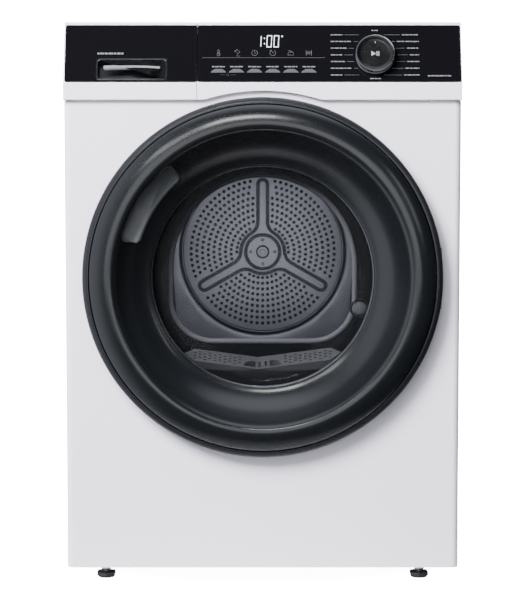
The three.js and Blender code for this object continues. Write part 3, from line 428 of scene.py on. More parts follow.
def rubbery(name, colour):
    f = Finish(name, Specular_IOR_Level=0.3)
    f.set(Base_Color=f.mixed(f.noise(25, 3), colour, tuple(c * 1.5 for c in colour)))
    f.set(Roughness=f.between(f.noise(80, 3), 0.3, 0.7, 0.72, 0.86))
    return f.bumped(f.noise(1500, 3), 0.15, 0.0004).material


def woolly(name, colour):
    f = Finish(name, Sheen_Weight=0.4, Sheen_Roughness=0.5, Specular_IOR_Level=0.1)
    fibre = f.noise(520, 6, f.scaled(1, 4, 1))
    f.set(Base_Color=f.mixed(fibre, colour, tuple(c * 0.6 for c in colour)))
    f.set(Roughness=f.between(fibre, 0.3, 0.7, 0.9, 1.0))
    return f.bumped(fibre, 0.6, 0.001).material


def finned(name, colour):
    """A pack of thin upright fins, with painted shade in the gaps between them."""
    f = Finish(name, Metallic=0.9)
    fins = f.node("ShaderNodeTexWave", {"wave_type": "BANDS", "bands_direction": "X"},
                  {"Vector": f.place, "Scale": 160.0, "Distortion": 0.4})[1]
    # painted shade: the bands between the fins are darkened to stand for the shaded gaps
    f.set(Base_Color=f.mixed(fins, tuple(c * 0.35 for c in colour), colour))
    f.set(Roughness=f.between(fins, 0, 1, 0.6, 0.35))
    return f.bumped(fins, 0.5, 0.001).material


def clear(name, colour, alpha, roughness=0.03, gloss=0.5):
    """Tinted see-through glass or plastic; the tint is what it takes from what lies behind."""
    f = Finish(name, IOR=1.5, Specular_IOR_Level=gloss)
    haze = f.noise(7, 3)
    f.set(Base_Color=f.mixed(haze, colour, tuple(c * 1.2 for c in colour)))
    f.set(Roughness=f.between(haze, 0.3, 0.7, roughness, roughness + 0.03))
    f.set(Alpha=f.between(haze, 0.2, 0.8, alpha, alpha + 0.03))
    return f.material


def printed(name, colour, glow=0.0):
    """Screen-printed ink, or a lit segment where glow is set."""
    f = Finish(name, Specular_IOR_Level=0.3)
    worn = f.noise(900, 2)
    f.set(Base_Color=f.mixed(worn, colour, tuple(c * 0.85 for c in colour)))
    f.set(Roughness=f.between(worn, 0.3, 0.7, 0.4, 0.55))
    if glow:
        f.set(Emission_Color=f.mixed(worn, colour, tuple(c * 0.92 for c in colour)))
        f.set(Emission_Strength=glow)
    return f.material


ENAMEL = enamel("white_enamel", rgb("e7e4ef"), 0.38)
WHITE_PLASTIC = moulded("white_plastic", rgb("e8e5f0"), 0.36, grain=1200, depth=0.05, tint=0.985)
GLASS_BLACK = polished("black_glass", rgb("09090b"), 0.05, coat=0.0, gloss=0.16)
PIANO_BLACK = polished("piano_black", rgb("0d0f11"), 0.20, coat=0.1)
BAND_BLACK = moulded("band_black", rgb("15161a"), 0.30, grain=3000, depth=0.06)
SATIN_BLACK = moulded("satin_black", rgb("1b1c20"), 0.36)
THROAT_BLACK = moulded("throat_black", rgb("101113"), 0.22, depth=0.03)
DARK_PLASTIC = moulded("dark_plastic", rgb("2c2e33"), 0.5)
LIFTER_GREY = moulded("lifter_grey", rgb("8d9097"), 0.42)
GREY_PLASTIC = moulded("grey_plastic", rgb("8a8c92"), 0.5)
FILTER_PLASTIC = moulded("filter_plastic", rgb("74767b"), 0.36)
TANK_PLASTIC = moulded("tank_plastic", rgb("d4d8dc"), 0.35)
CHROME = metal("bright_ring", rgb("6a6c71"), 0.32, (1, 1, 1), 40)
SMOKED_GLASS = clear("smoked_glass", rgb("0c0d0f"), 0.36, gloss=0.08)
LENS = clear("lamp_lens", rgb("7d8185"), 0.75, 0.2)
DRUM_STEEL = round_steel("drum_steel", rgb("9697a0"), 0.34)
SHELL_STEEL = metal("drum_shell_steel", rgb("797a82"), 0.34, (1, 40, 1), 30)
MACHINED = metal("machined_steel", rgb("b0b1b4"), 0.3)
ZINC = galvanised("zinc_sheet", rgb("a9acb0"))
RUBBER = rubbery("rubber", rgb("1a1a1b"))
FELT = woolly("grey_felt", rgb("8d897f"))
FINS = finned("aluminium_fins", rgb("c3c6c9"))
WHITE_INK = printed("white_ink", rgb("8e9095"))
GREY_INK = printed("grey_ink", rgb("64666b"))
LIT_INK = printed("lit_segment", rgb("dfe4e8"), glow=0.6)
KEY_INK = printed("key_ink", rgb("3f4146"))
RECESS_GREY = moulded("recess_grey", rgb("34373b"), 0.35, depth=0.05)
# painted highlight: the loading lip is light grey to stand for the bright line that light draws along its
# glossy black edge
LIP_HIGHLIGHT_GREY = moulded("lip_painted_highlight", rgb("8e9198"), 0.14, depth=0.02)
# painted shade: the star's groove floor is darker steel to stand for the shade in the recessed groove
GROOVE_SHADED_STEEL = metal("groove_steel_painted_shade", rgb("54565b"), 0.5, (1, 1, 1), 40)
# painted shade: a dark grey for the sheet behind the drum's air holes, standing for the shade seen through
# them
HOLE_PAINTED_SHADE = moulded("painted_hole_shade", rgb("2e3035"), 0.6)
WELL_GREY = moulded("well_grey", rgb("131416"), 0.4)
KNOB_BLACK = moulded("knob_black", rgb("08090a"), 0.26, depth=0.03)
KNOB_RING = metal("knob_ring", rgb("85878c"), 0.3, (1, 1, 1), 40)
# painted highlight: the grip bar is light grey to stand for the light caught on the grip's curved inner lip
GRIP_BAR_HIGHLIGHT = moulded("grip_bar_painted_highlight", rgb("66686d"), 0.25, depth=0.03)


def prism(points, y0, y1):
    """An outline in X and Z, filled from y0 to y1."""
    piece = drawn([(x, y0, z) for x, z in points])
    bpy.ops.mesh.select_all(action="SELECT")
    bpy.ops.mesh.edge_face_add()
    bpy.ops.mesh.extrude_region_move(TRANSFORM_OT_translate={"value": (0, y1 - y0, 0)})
    close_up()
    return piece


def mm(profile):
    return [(a * MM, b * MM) for a, b in profile]


def polar(radius, degrees, centre=(0, 0)):
    turn = math.radians(degrees)
    return centre[0] + radius * math.cos(turn), centre[1] + radius * math.sin(turn)


def dressed(material, *nodes):
    """Gives CAD nodes that keep their own shape a finish."""
    for node in nodes:
        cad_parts[node].material_slots[0].material = material


# ---- door ----

DOOR_AXIS = (0, DOOR_CENTRE.z)
HINGE_NOTCH = (
    Vector((low("hinge_leaf").x + 26 * MM, low("hinge_bracket").y - 1.5 * MM, DOOR_CENTRE.z - 48 * MM)),
    Vector((DOOR_RADIUS + 4 * MM, PANEL_FACE_Y, DOOR_CENTRE.z + 48 * MM)),
)
RECESS = {"inner": 190 * MM, "outer": 221 * MM, "start": 129, "end": 165}


def recess_wedge(inset, y0, y1):
    """The finger recess's outline: a bent slot with round corners."""
    inner, outer = RECESS["inner"] + inset, RECESS["outer"] - inset
    start, end = RECESS["start"], RECESS["end"]
    trim = math.degrees(inset / outer)
    corner = 1.9
    round_off = 4.5 * MM
    steps = 14
    points = []
    for i in range(steps + 1):
        turn = start + trim + corner + (end - start - 2 * trim - 2 * corner) * i / steps
        points.append(polar(outer, turn, DOOR_AXIS))
    points.append(polar(outer - round_off, end - trim, DOOR_AXIS))
    points.append(polar(inner + round_off, end - trim, DOOR_AXIS))
    for i in range(steps + 1):
        turn = end - trim - corner - (end - start - 2 * trim - 2 * corner) * i / steps
        points.append(polar(inner, turn, DOOR_AXIS))
    points.append(polar(inner + round_off, start + trim, DOOR_AXIS))
    points.append(polar(outer - round_off, start + trim, DOOR_AXIS))
    return prism(points, y0, y1)


def door_ring():
    face = softened_path(mm([
        (259.8, -282), (259.8, -291.6), (256.5, -295.5), (249, -299.8), (240, -302.7),
        (231.5, -304.0), (224.5, -302.9), (220, -299.0), (213, -289.6), (200, -274.3),
        (187, -262.3), (177, -255.6), (168.5, -252.6), (168, -249),
    ]), 2)
    back = mm([(177, -252.4), (188, -259.2), (202, -271.8), (223, -296.2), (231.5, -300.6),
               (247, -297), (257, -290.8), (257, -282)])
    ring = turned([*face, *back, face[0]], DOOR_AXIS, 180)
    carved(ring, recess_wedge(0, CREST_Y - 10 * MM, PANEL_FACE_Y - 2 * MM))
    carved(ring, block(*HINGE_NOTCH))
    edged(ring, 0.9 * MM, 2, 60)
    finished(smooth(ring, 32), "door_ring_shell", "door", PIANO_BLACK, ["door_ring"])

    cup = recess_wedge(0.4 * MM, -284 * MM, -266 * MM)
    carved(cup, recess_wedge(2.2 * MM, -300 * MM, -268.6 * MM))
    cone = turned(mm([(0, -310), (224, -310), (220, -299.4), (213, -290.2), (200, -275), (187, -263),
                      (0, -263)]), DOOR_AXIS, 120)
    carved(cup, cone)
    finished(smooth(edged(cup, 0.6 * MM, 2, 40), 32), "door_recess_cup", "door", RECESS_GREY,
             ["door_handle_pocket"])


def door_band():
    wall = 5.5
    outer = softened_path(mm([
        (266, -264.5), (269.2, -264.5), (270, -266.5), (270, -284), (269.2, -288.2),
        (266.2, -291), (262.5, -292.5), (260.4, -292.5),
    ]), 1)
    back = mm([(260.4, -274), (270 - wall, -270), (270 - wall, -264.5)])
    band = turned([*outer, *back, outer[0]], DOOR_AXIS, 180)
    carved(band, block(*HINGE_NOTCH))
    finished(smooth(band, 32), "door_band_ring", "door", BAND_BLACK, ["door_band"])


def door_inside():
    frame_profile = mm([
        (264, -264.5), (264, -266.5), (197, -266.5), (187.6, -257.6), (180, -250.5), (180, -233.5),
        (172, -233.5), (172, -232), (182, -232), (182, -249.5), (186, -255.5), (190, -259.6),
        (197.2, -264.5), (264, -264.5),
    ])
    plate = turned(frame_profile, DOOR_AXIS, 144)
    carved(plate, block(*HINGE_NOTCH))
    finished(smooth(edged(plate, 0.5 * MM, 2, 40), 32), "door_inner_plate", "door", DARK_PLASTIC,
             ["door_frame"])

    seal = turned(softened_path(mm([
        (182.4, -246), (186.5, -246.4), (189.6, -243.6), (189.6, -240.4), (186.5, -237.6),
        (182.4, -238), (182.4, -246),
    ]), 1), DOOR_AXIS, 144)
    finished(smooth(seal, 50), "door_seal_ring", "door", RUBBER, ["door_seal"])

    bowl = turned([*softened_path(mm([
        (0, -236.6), (120, -236.8), (150, -238.0), (161, -241.6), (166.4, -245.4), (176, -246.6),
    ]), 2), *softened_path(mm([
        (176, -243.6), (168, -242.2), (162, -237.8), (150, -234.4), (120, -233.4), (0, -233.2),
    ]), 2)], DOOR_AXIS, 144)
    finished(smooth(bowl, 40), "door_window", "door", SMOKED_GLASS, ["door_glass"])

    rim = turned(softened_path(mm([
        (166.2, -248.6), (168.6, -250.6), (171, -248.6), (171, -247.2), (166.2, -247.2), (166.2, -248.6),
    ]), 1), DOOR_AXIS, 144)
    finished(smooth(rim, 50), "door_window_rim", "door", CHROME)
    for turn in (40, 80, 100, 140, 200, 240, 300, 340):
        x, z = polar(232 * MM, turn, DOOR_AXIS)
        screw(x, z, DOOR_REAR_Y + 0.1 * MM, 4.2 * MM, f"door_screw_{turn}", "door")


def screw(x, z, face_y, radius, name, body, outward=1):
    """A cross-head screw whose head stands on a face that looks along +Y, or -Y for outward -1."""
    head = turned([(0, face_y + outward * 0.45 * radius), (radius * 0.6, face_y + outward * 0.4 * radius),
                   (radius * 0.94, face_y + outward * 0.18 * radius), (radius, face_y), (0, face_y)],
                  (x, z), 20)
    slot, deep = radius * 0.13, radius * 0.62
    cut_start, cut_end = ((face_y + 0.22 * radius, face_y + radius) if outward > 0
                          else (face_y - 1.22 * radius, face_y + 0.78 * radius))
    for across, up in ((deep, slot), (slot, deep)):
        carved(head, block((x - across, cut_start, z - up), (x + across, cut_end, z + up)))
    return finished(smooth(head, 40), name, body, ZINC)


door_ring()
door_band()
door_inside()


# ---- drum ----

def sheet_of(outlines, thickness, matrix):
    """A flat sheet of metal or ink: the first outline is its edge, the others are holes in it."""
    data = bpy.data.curves.new("sheet", "CURVE")
    data.dimensions = "2D"
    data.fill_mode = "BOTH"
    data.extrude = thickness / 2
    for outline in outlines:
        spline = data.splines.new("POLY")
        spline.points.add(len(outline) - 1)
        for point, (across, up) in zip(spline.points, outline):
            point.co = (across, up, 0, 1)
        spline.use_cyclic_u = True
    piece = bpy.data.objects.new("sheet", data)
    bpy.context.scene.collection.objects.link(piece)
    only(piece)
    bpy.ops.object.convert(target="MESH")
    piece = bpy.context.object
    bpy.ops.object.mode_set(mode="EDIT")
    close_up()
    piece.matrix_world = matrix
    return settle(piece)


def upright(y, x=0, z=0):
    """The matrix that stands a flat drawing up in X and Z, facing -Y, at a given depth."""
    return Matrix.Translation((x, y, z)) @ Matrix.Rotation(math.pi / 2, 4, "X")


def circle(radius, centre=(0, 0), sides=12, start=0):
    return [polar(radius, start + 360 * i / sides, centre) for i in range(sides)]


def arc(radius, start, end, centre=(0, 0), steps=8):
    return [polar(radius, start + (end - start) * i / steps, centre) for i in range(steps + 1)]


def pill(length, height, centre, steps=3):
    """A slot with round ends."""
    x, z = centre
    reach = (length - height) / 2
    return [*arc(height / 2, -90, 90, (x + reach, z), steps),
            *arc(height / 2, 90, 270, (x - reach, z), steps)]


STAR = {"arms": (90, 330, 210), "reach": 125.7 * MM, "half": 8.3 * MM, "hub": 38 * MM, "fillet": 24 * MM,
        "groove": 6.4 * MM, "ring": 29.6 * MM, "boss": 11.8 * MM}


def star_outline(grow):
    """Three arms with round ends, which flow into a round hub."""
    half, hub = STAR["half"] + grow, STAR["hub"] + grow
    fillet = STAR["fillet"] - grow
    rise = math.sqrt((hub + fillet) ** 2 - (half + fillet) ** 2)
    lean = math.degrees(math.atan2(half + fillet, rise))
    tip = STAR["reach"] - STAR["half"]
    points = []
    for arm in STAR["arms"]:
        spin = arm - 90
        fillet_arc = arc(fillet, 180, 270 - lean, (half + fillet, rise), 8)
        left = [(-x, z) for x, z in reversed(fillet_arc)]
        hub_arc = arc(hub, 90 - lean, -30 + lean, (0, 0), 8)[1:-1]
        for x, z in [*left, *arc(half, 180, 0, (0, tip), 12), *fillet_arc, *hub_arc]:
            distance, turn = math.hypot(x, z), math.degrees(math.atan2(z, x))
            points.append(polar(distance, turn + spin))
    return points


def air_holes():
    """Nine rows of round air holes, spread evenly from the middle of each third."""
    holes = []
    clear_of_arm = STAR["half"] + STAR["groove"] / 2 + 4.4 * MM
    for row in range(9):
        radius = (124.6 - 9.95 * row) * MM
        step = math.degrees((9.9 - 0.24 * row) * MM / radius)
        limit = 60 - math.degrees(math.asin(clear_of_arm / radius))
        for middle_turn in (270, 30, 150):
            count = int(limit / step)
            for j in range(-count, count + 1):
                turn = middle_turn + j * step
                centre = polar(radius, turn)
                if fillet_clear(radius, abs(j * step)):
                    holes.append(circle(2.95 * MM, centre, 12, turn))
    return holes


def fillet_clear(radius, off_middle):
    """True where a hole keeps off the star's hub and the fillets beside its arms."""
    half, hub, fillet = STAR["half"], STAR["hub"], STAR["fillet"]
    rise = math.sqrt((hub + fillet) ** 2 - (half + fillet) ** 2)
    lean = math.degrees(math.atan2(half + fillet, rise))
    room = STAR["groove"] / 2 + 3.3 * MM
    from_arm = 60 - off_middle
    x, z = polar(radius, 90 - from_arm)
    if z > rise:
        return x > half + room
    if from_arm > lean:
        return radius > hub + room
    return math.hypot(x - half - fillet, z - rise) < fillet - room


def drum_back():
    face = DRUM_BACK_Y - 1.5 * MM
    grow = STAR["groove"] / 2
    disc = [circle(137 * MM, sides=128), star_outline(grow), *air_holes()]
    sheet = sheet_of(disc, 1 * MM, upright(face, z=DRUM_Z))
    star = sheet_of([star_outline(-grow), circle(STAR["ring"] + grow, sides=64)], 1 * MM,
                    upright(face, z=DRUM_Z))
    hub = sheet_of([circle(STAR["ring"] - grow, sides=64), circle(STAR["boss"], sides=48)], 1 * MM,
                   upright(face, z=DRUM_Z))
    boss_y = DRUM_BACK_Y - 2 * MM
    boss = turned([(0, boss_y - 0.2 * MM), (4.2 * MM, boss_y - 0.2 * MM), (5.2 * MM, boss_y + 0.8 * MM),
                   (8.4 * MM, boss_y + 0.8 * MM), (9.6 * MM, boss_y), (9.6 * MM, boss_y + 1.8 * MM),
                   (0, boss_y + 1.8 * MM)], (0, DRUM_Z), 48)
    dish = softened_path(mm([
        (137.4, 214.6), (137.4, 212.4), (138.6, 211.2), (140.6, 211.2), (142.2, 206), (147, 203.4),
        (160, 202.6), (262, 197.6), (273, 198.4), (281.6, 204.6)]), 2)
    under = mm([(281.6, 206), (272, 199.6), (160, 204), (147.4, 205), (143.4, 207), (141.6, 212.6),
                (139, 212.8), (138.6, 214.6)])
    wall = turned([*dish, *under, dish[0]], (0, DRUM_Z), 144)
    back = joined([sheet, star, hub, boss])
    finished(smooth(back, 30), "drum_back_sheet", "drum", DRUM_STEEL, ["drum_back_wall"])
    finished(smooth(wall, 30), "drum_dished_wall", "drum", SHELL_STEEL)
    # The groove floor carries painted shade: its steel is darker than the sheet around it.
    floor_sheet = sheet_of([star_outline(grow + 1.5 * MM)], 0.5 * MM,
                           upright(DRUM_BACK_Y - 0.5 * MM, z=DRUM_Z))
    finished(floor_sheet, "drum_groove_floor", "drum", GROOVE_SHADED_STEEL)
    # A dark sheet right behind the air holes: painted shade, so the holes read dark.
    hole_shade_sheet = sheet_of([circle(137 * MM, sides=64), circle(32 * MM, sides=32)], 0.6 * MM,
                    upright(DRUM_BACK_Y + 0.3 * MM, z=DRUM_Z))
    finished(hole_shade_sheet, "drum_hole_shade_plate", "drum", HOLE_PAINTED_SHADE)
    for turn in (0, 90, 180, 270):
        x, z = polar(21 * MM, turn, (0, DRUM_Z))
        screw(x, z, face - 0.5 * MM, 2.9 * MM, f"drum_screw_{turn}", "drum", -1)


def drum_wall():
    radius = DRUM_RADIUS / MM
    front, back = DRUM_FRONT_Y / MM, DRUM_BACK_Y / MM
    outside = [(radius - 24, front + 0.4), (radius - 5, front + 0.4), (radius - 0.2, front + 4)]
    inside = []
    for k in range(5):
        bead = front + 60 + 55 * k
        outside += [(radius - 0.2, bead - 7), (radius - 2, bead), (radius - 0.2, bead + 7)]
        inside += [(radius - 1.8, bead - 7), (radius - 3.6, bead), (radius - 1.8, bead + 7)]
    outside += [(radius - 0.2, back - 1)]
    profile = [*outside, (radius - 1.8, back - 1), *reversed(inside),
               (radius - 1.8, front + 5), (radius - 5.6, front + 2), (radius - 24, front + 2),
               (radius - 24, front + 0.4)]
    shell = turned(mm(profile), (0, DRUM_Z), 144)
    finished(smooth(shell, 40), "drum_wall", "drum", SHELL_STEEL, ["drum_shell"])
    for node in ("lifter_a", "lifter_b", "lifter_c"):
        finished(softened(node, 4 * MM, 4), node + "_ridge", "drum", LIFTER_GREY, [node])


# ---- loading throat, lamp and lint filter ----

LOAD = {"half": 138 * MM, "top": 612 * MM, "lip": 362 * MM, "corner": 62 * MM}
THROAT_BACK_Y = -190 * MM
LINING_RADIUS = 190.7 * MM
FILTER = {"half": 122 * MM, "front": low("lint_filter_frame").y, "back": high("lint_filter_frame").y,
          "foot": low("lint_filter_frame").z, "top": high("lint_filter_frame").z}


def opening_outline(grow=0.0):
    """The D-shaped way into the drum: a half round over a lip with round corners."""
    half, corner = LOAD["half"] + grow, LOAD["corner"] + grow
    lip, springing = LOAD["lip"] - grow, LOAD["top"] - LOAD["half"]
    inner = half - corner
    return [*arc(half, 0, 180, (0, springing), 40),
            *arc(corner, 180, 270, (-inner, lip + corner), 14),
            *arc(corner, 270, 360, (inner, lip + corner), 14)]


def throat():
    well = block((-FILTER["half"] - 2 * MM, FILTER["front"] - 5.4 * MM, 200 * MM),
                 (FILTER["half"] + 2 * MM, FILTER["back"] + 4.4 * MM, 332 * MM))
    lining = turned(mm([(191.2, -259.2), (190.7, -259.2), (190.7, -202), (189.8, -197.5), (186, -191.6),
                        (186, -190.6), (190.6, -196.6), (191.2, -201), (191.2, -259.2)]),
                    DOOR_AXIS, 180)
    carved(lining, well)
    finished(smooth(lining, 40), "throat_lining", "root", THROAT_BLACK)

    centre = (0, DOOR_CENTRE.z)
    spot = middle("drum_lamp")
    rear = sheet_of([[(x, z) for x, z in circle(187 * MM, centre, 144)], opening_outline(3 * MM),
                     circle(13.5 * MM, (spot.x, spot.z), 32)],
                    0.8 * MM, upright(THROAT_BACK_Y - 0.8 * MM))
    # The lip round the opening carries a painted highlight: it is coloured light grey, not its own glossy
    # black.
    lip = wires([[(x, THROAT_BACK_Y + 1 * MM, z) for x, z in opening_outline(3.4 * MM)]], 4.4 * MM,
                closed=True, resolution=6)
    finished(smooth(rear, 30), "throat_rear_wall", "root", THROAT_BLACK)
    finished(smooth(lip, 60), "loading_lip", "root", LIP_HIGHLIGHT_GREY)

    bezel = turned([(12 * MM, -189 * MM), (12.4 * MM, -193.4 * MM), (14 * MM, -194.2 * MM),
                    (15.6 * MM, -193.2 * MM), (16 * MM, -190.6 * MM), (12 * MM, -189 * MM)],
                   (spot.x, spot.z), 48)
    finished(smooth(bezel, 50), "lamp_bezel", "root", DARK_PLASTIC)
    lens_profile = [(0, -195.4), (4, -195.2), (7.4, -194.4), (9.8, -193), (10.8, -191.4), (10.8, -184),
                    (0, -184)]
    lens = turned(mm(lens_profile), (spot.x, spot.z), 48)
    finished(smooth(lens, 40), "lamp_lens", "root", LENS, ["drum_lamp"])


def along_x(outline, x0, x1):
    """An outline in Y and Z, filled from x0 to x1."""
    piece = drawn([(x0, y, z) for y, z in [*outline, outline[0]]])
    bpy.ops.mesh.select_all(action="SELECT")
    bpy.ops.mesh.remove_doubles(threshold=0.00001)
    bpy.ops.mesh.select_all(action="SELECT")
    bpy.ops.mesh.edge_face_add()
    bpy.ops.mesh.extrude_region_move(TRANSFORM_OT_translate={"value": (x1 - x0, 0, 0)})
    close_up()
    return piece


def filter_strip():
    """The filter's bowed top: slots in rows, two finger hollows and a web with two slots."""
    half, deep = FILTER["half"], 31 * MM
    shoulder = half - 17 * MM
    stations = [shoulder * (i / 14 - 1) for i in range(29)]
    outline = [(-half, 0.5 * deep), *[(x, deep) for x in stations], (half, 0.5 * deep),
               *[(x, 0) for x in reversed(stations)]]
    holes = []
    for side in (-1, 1):
        for column in range(10):
            across = side * (35.5 + 7.7 * column) * MM
            first = 7 if column % 2 else 10.5
            for row in range(3):
                holes.append(pill(5.8 * MM, 3.0 * MM, (across, (first + 7 * row) * MM)))
        hollow = [(side * 11 * MM, 4 * MM), (side * 28.5 * MM, 4 * MM)]
        hollow += [(side * (11 + 17.5 * math.cos(t * math.pi / 12)) * MM,
                    (8 + 11 * math.sin(t * math.pi / 12)) * MM) for t in range(7)]
        holes.append(hollow)
        holes.append([(side * 3 * MM, 5 * MM), (side * 6.6 * MM, 5 * MM),
                      (side * 6.6 * MM, 18 * MM), (side * 3 * MM, 18 * MM)])
    flat = sheet_of([outline, *holes], 2.2 * MM, Matrix.Translation((0, -deep / 2, 0)))
    only(flat)
    bend = flat.modifiers.new("bow", "SIMPLE_DEFORM")
    bend.deform_method = "BEND"
    bend.deform_axis = "Y"
    bend.angle = math.radians(-18.7)
    bpy.ops.object.modifier_apply(modifier=bend.name)
    if max(v.co.z for v in flat.data.vertices) < 4 * MM:
        flat.matrix_world = Matrix.Scale(-1, 4, (0, 0, 1))
        settle(flat)
        bpy.ops.object.mode_set(mode="EDIT")
        close_up()
    front_z = FILTER["top"] - 26 * MM
    flat.matrix_world = (Matrix.Translation((0, (FILTER["front"] + FILTER["back"]) / 2, front_z + 9 * MM))
                         @ Matrix.Rotation(math.radians(30), 4, "X"))
    return smooth(settle(flat), 30)


def lint_filter():
    finished(filter_strip(), "lint_filter_top", "lint_filter", FILTER_PLASTIC,
             ["lint_filter_frame"])
    front, back = FILTER["front"] + 0.5 * MM, FILTER["back"] - 0.5 * MM
    foot, rim = FILTER["foot"], FILTER["top"] - 27 * MM
    body = along_x([(front, foot), (front, rim), (back, rim + 14 * MM), (back, foot)],
                   -FILTER["half"] + 1 * MM, FILTER["half"] - 1 * MM)
    window_low, window_high = low("lint_filter_sieve"), high("lint_filter_sieve")
    carved(body, block((window_low.x, front - 9 * MM, window_low.z),
                       (window_high.x, back + 9 * MM, window_high.z - 6 * MM)))
    finished(smooth(edged(body, 1 * MM, 2), 30), "lint_filter_body", "lint_filter", DARK_PLASTIC)
    skirt_y = FILTER["front"] - 5.6 * MM
    reach = FILTER["half"] + 4 * MM
    rim_line = [(reach * (1 - i / 12), FILTER["top"] - 28 * MM + 9 * MM * (1 - i / 12) ** 2)
                for i in range(25)]
    bowl = arc(LINING_RADIUS - 0.3 * MM, 229, 311, DOOR_AXIS, 32)
    skirt = sheet_of([[*rim_line, *bowl]], 1 * MM, upright(skirt_y))
    finished(smooth(skirt, 30), "filter_well_front", "root", WELL_GREY)


drum_back()
drum_wall()
throat()
lint_filter()


# ---- control panel, drawn in the plane of its leaning glass ----

INK = 0.16 * MM


def on_glass(lift=0.0):
    """The matrix that lays a flat drawing on the leaning glass."""
    return LEAN_MATRIX @ Matrix.Translation((0, 0, lift))


def box_outline(left, right, foot, top):
    return [(left, foot), (right, foot), (right, top), (left, top)]


def inked(outlines, name, material=None, body="root"):
    """Separate flat shapes printed on the glass, each outline one shape."""
    piece = sheet_of(outlines, INK, on_glass(INK / 2 + 0.02 * MM))
    return finished(piece, name, body, material or WHITE_INK)


def lines(routes, name, width=0.5, material=None):
    """Thin printed lines along routes given in millimetres across and up the glass."""
    strokes = wires([[(a * MM, b * MM, 0) for a, b in route] for route in routes], width * MM / 2,
                    resolution=1)
    only(strokes)
    strokes.matrix_world = on_glass() @ Matrix.Scale(0.35, 4, (0, 0, 1))
    settle(strokes)
    return finished(strokes, name, "root", material or WHITE_INK)


def bars(rows, name, height=1.9, material=None):
    """Short bars in place of words: each row is (left, right, up), broken into word lengths."""
    shapes = []
    for index, (left, right, up) in enumerate(rows):
        cut = left
        step = 0
        while cut < right - 0.8:
            length = min((3.4, 5.6, 4.4, 6.8)[(index + step) % 4], right - cut)
            if length > 0.9:
                shapes.append([(x * MM, z * MM) for x, z in
                               box_outline(cut, cut + length, up - height / 2, up + height / 2)])
            cut += length + 1.1
            step += 1
    return inked(shapes, name, material or GREY_INK)


SEGMENTS = {"0": "abcdef", "1": "bc"}


def digit(kind, left, foot, width, height, stroke):
    """Seven-segment digit outlines, leaning a little."""
    lean = 0.05
    gap = 0.25
    half = height / 2
    spans = {
        "a": (0, width, height - stroke, height), "d": (0, width, 0, stroke),
        "g": (gap, width - gap, half - stroke / 2, half + stroke / 2),
        "f": (0, stroke, half + gap, height - stroke - gap), "e": (0, stroke, stroke + gap, half - gap),
        "b": (width - stroke, width, half + gap, height - stroke - gap),
        "c": (width - stroke, width, stroke + gap, half - gap),
    }
    shapes = []
    for segment in SEGMENTS[kind]:
        x0, x1, z0, z1 = spans[segment]
        shapes.append([((left + x + lean * z) * MM, (foot + z) * MM)
                       for x, z in box_outline(x0, x1, z0, z1)])
    return shapes


def clock():
    tall, wide = 19, 7.6
    shapes = [shape for kind, left in (("1", -10), ("0", 5.6), ("0", 16.2))
              for shape in digit(kind, left, 55, wide, tall, 1.0)]
    for up in (60, 68.5):
        shapes.append(box_outline(2.0 * MM, 3.4 * MM, up * MM, (up + 1.6) * MM))
    shapes.append(circle(1.1 * MM, (29 * MM, 72.6 * MM)))
    inked(shapes, "clock_digits", LIT_INK)


def round_route(radius, centre, start=0, end=360, steps=20):
    return [polar(radius, start + (end - start) * i / steps, centre) for i in range(steps + 1)]


def key_icons():
    """Six outline signs in a row, over the touch keys."""
    up = 46
    routes = []
    x = -66
    routes += [round_route(2.2, (x, up - 2.6)), [(x - 1, up - 0.8), (x - 1, up + 4.2), (x, up + 5),
                                                 (x + 1, up + 4.2), (x + 1, up - 0.8)]]
    x = -38
    routes += [[(x - 4, up + 3), (x, up + 5), (x + 4, up + 1.5), (x + 1.5, up - 1), (x - 4, up + 3)],
               [(x + 1.5, up - 1), (x - 1, up - 5), (x + 4, up - 5)]]
    x = -12
    routes += [round_route(4.3, (x, up)), [(x, up + 2.6), (x, up), (x + 2.2, up - 1.2)]]
    x = 15
    routes += [round_route(4.3, (x, up), 120, 420), [(x, up + 2.4), (x, up), (x + 2, up)],
               [(x - 4.2, up + 4.4), (x - 1.6, up + 4.2), (x - 2.3, up + 1.8)]]
    x = 42
    routes += [[(x - 4.5, up - 3.5), (x + 4.5, up - 3.5), (x + 3.2, up + 1.2), (x - 1.5, up + 3.6),
                (x - 3.6, up + 3.6)], [(x - 4.5, up - 3.5), (x - 3.6, up + 1.2), (x + 3.2, up + 1.2)]]
    x = 69
    routes += [[(x - 4, up + 4), (x - 4, up - 4)], [(x + 4, up + 4), (x + 4, up - 4)],
               [(x - 4, up), (x + 4, up)], [(x - 1.4, up + 3.2), (x - 1.4, up - 3.2)],
               [(x + 1.4, up + 3.2), (x + 1.4, up - 3.2)]]
    lines(routes, "key_icons", 0.42, GREY_INK)
    lines([[(-90, 38.3), (93, 38.3)]], "key_rule", 0.3, GREY_INK)


def touch_keys():
    """Six touch keys: a bar for each name over a filled mark that widens downwards."""
    shapes, names = [], []
    for k in range(6):
        x = -66 + 27 * k
        shapes.append([(a * MM, b * MM) for a, b in [
            (x - 11.6, 14.6), (x + 11.6, 14.6), (x + 10.4, 16.8), (x + 5, 20.4), (x - 5, 20.4),
            (x - 10.4, 16.8)]])
        names.append((x - 9.5, x + 9.5, 24))
    inked(shapes, "touch_key_marks", KEY_INK)
    bars(names, "touch_key_names", 1.7, GREY_INK)
    lines([[(-64, 11), (-56, 11)], [(-48, 11), (-40, 11)], round_route(1.6, (-52, 11))],
          "reset_mark", 0.35, KEY_INK)


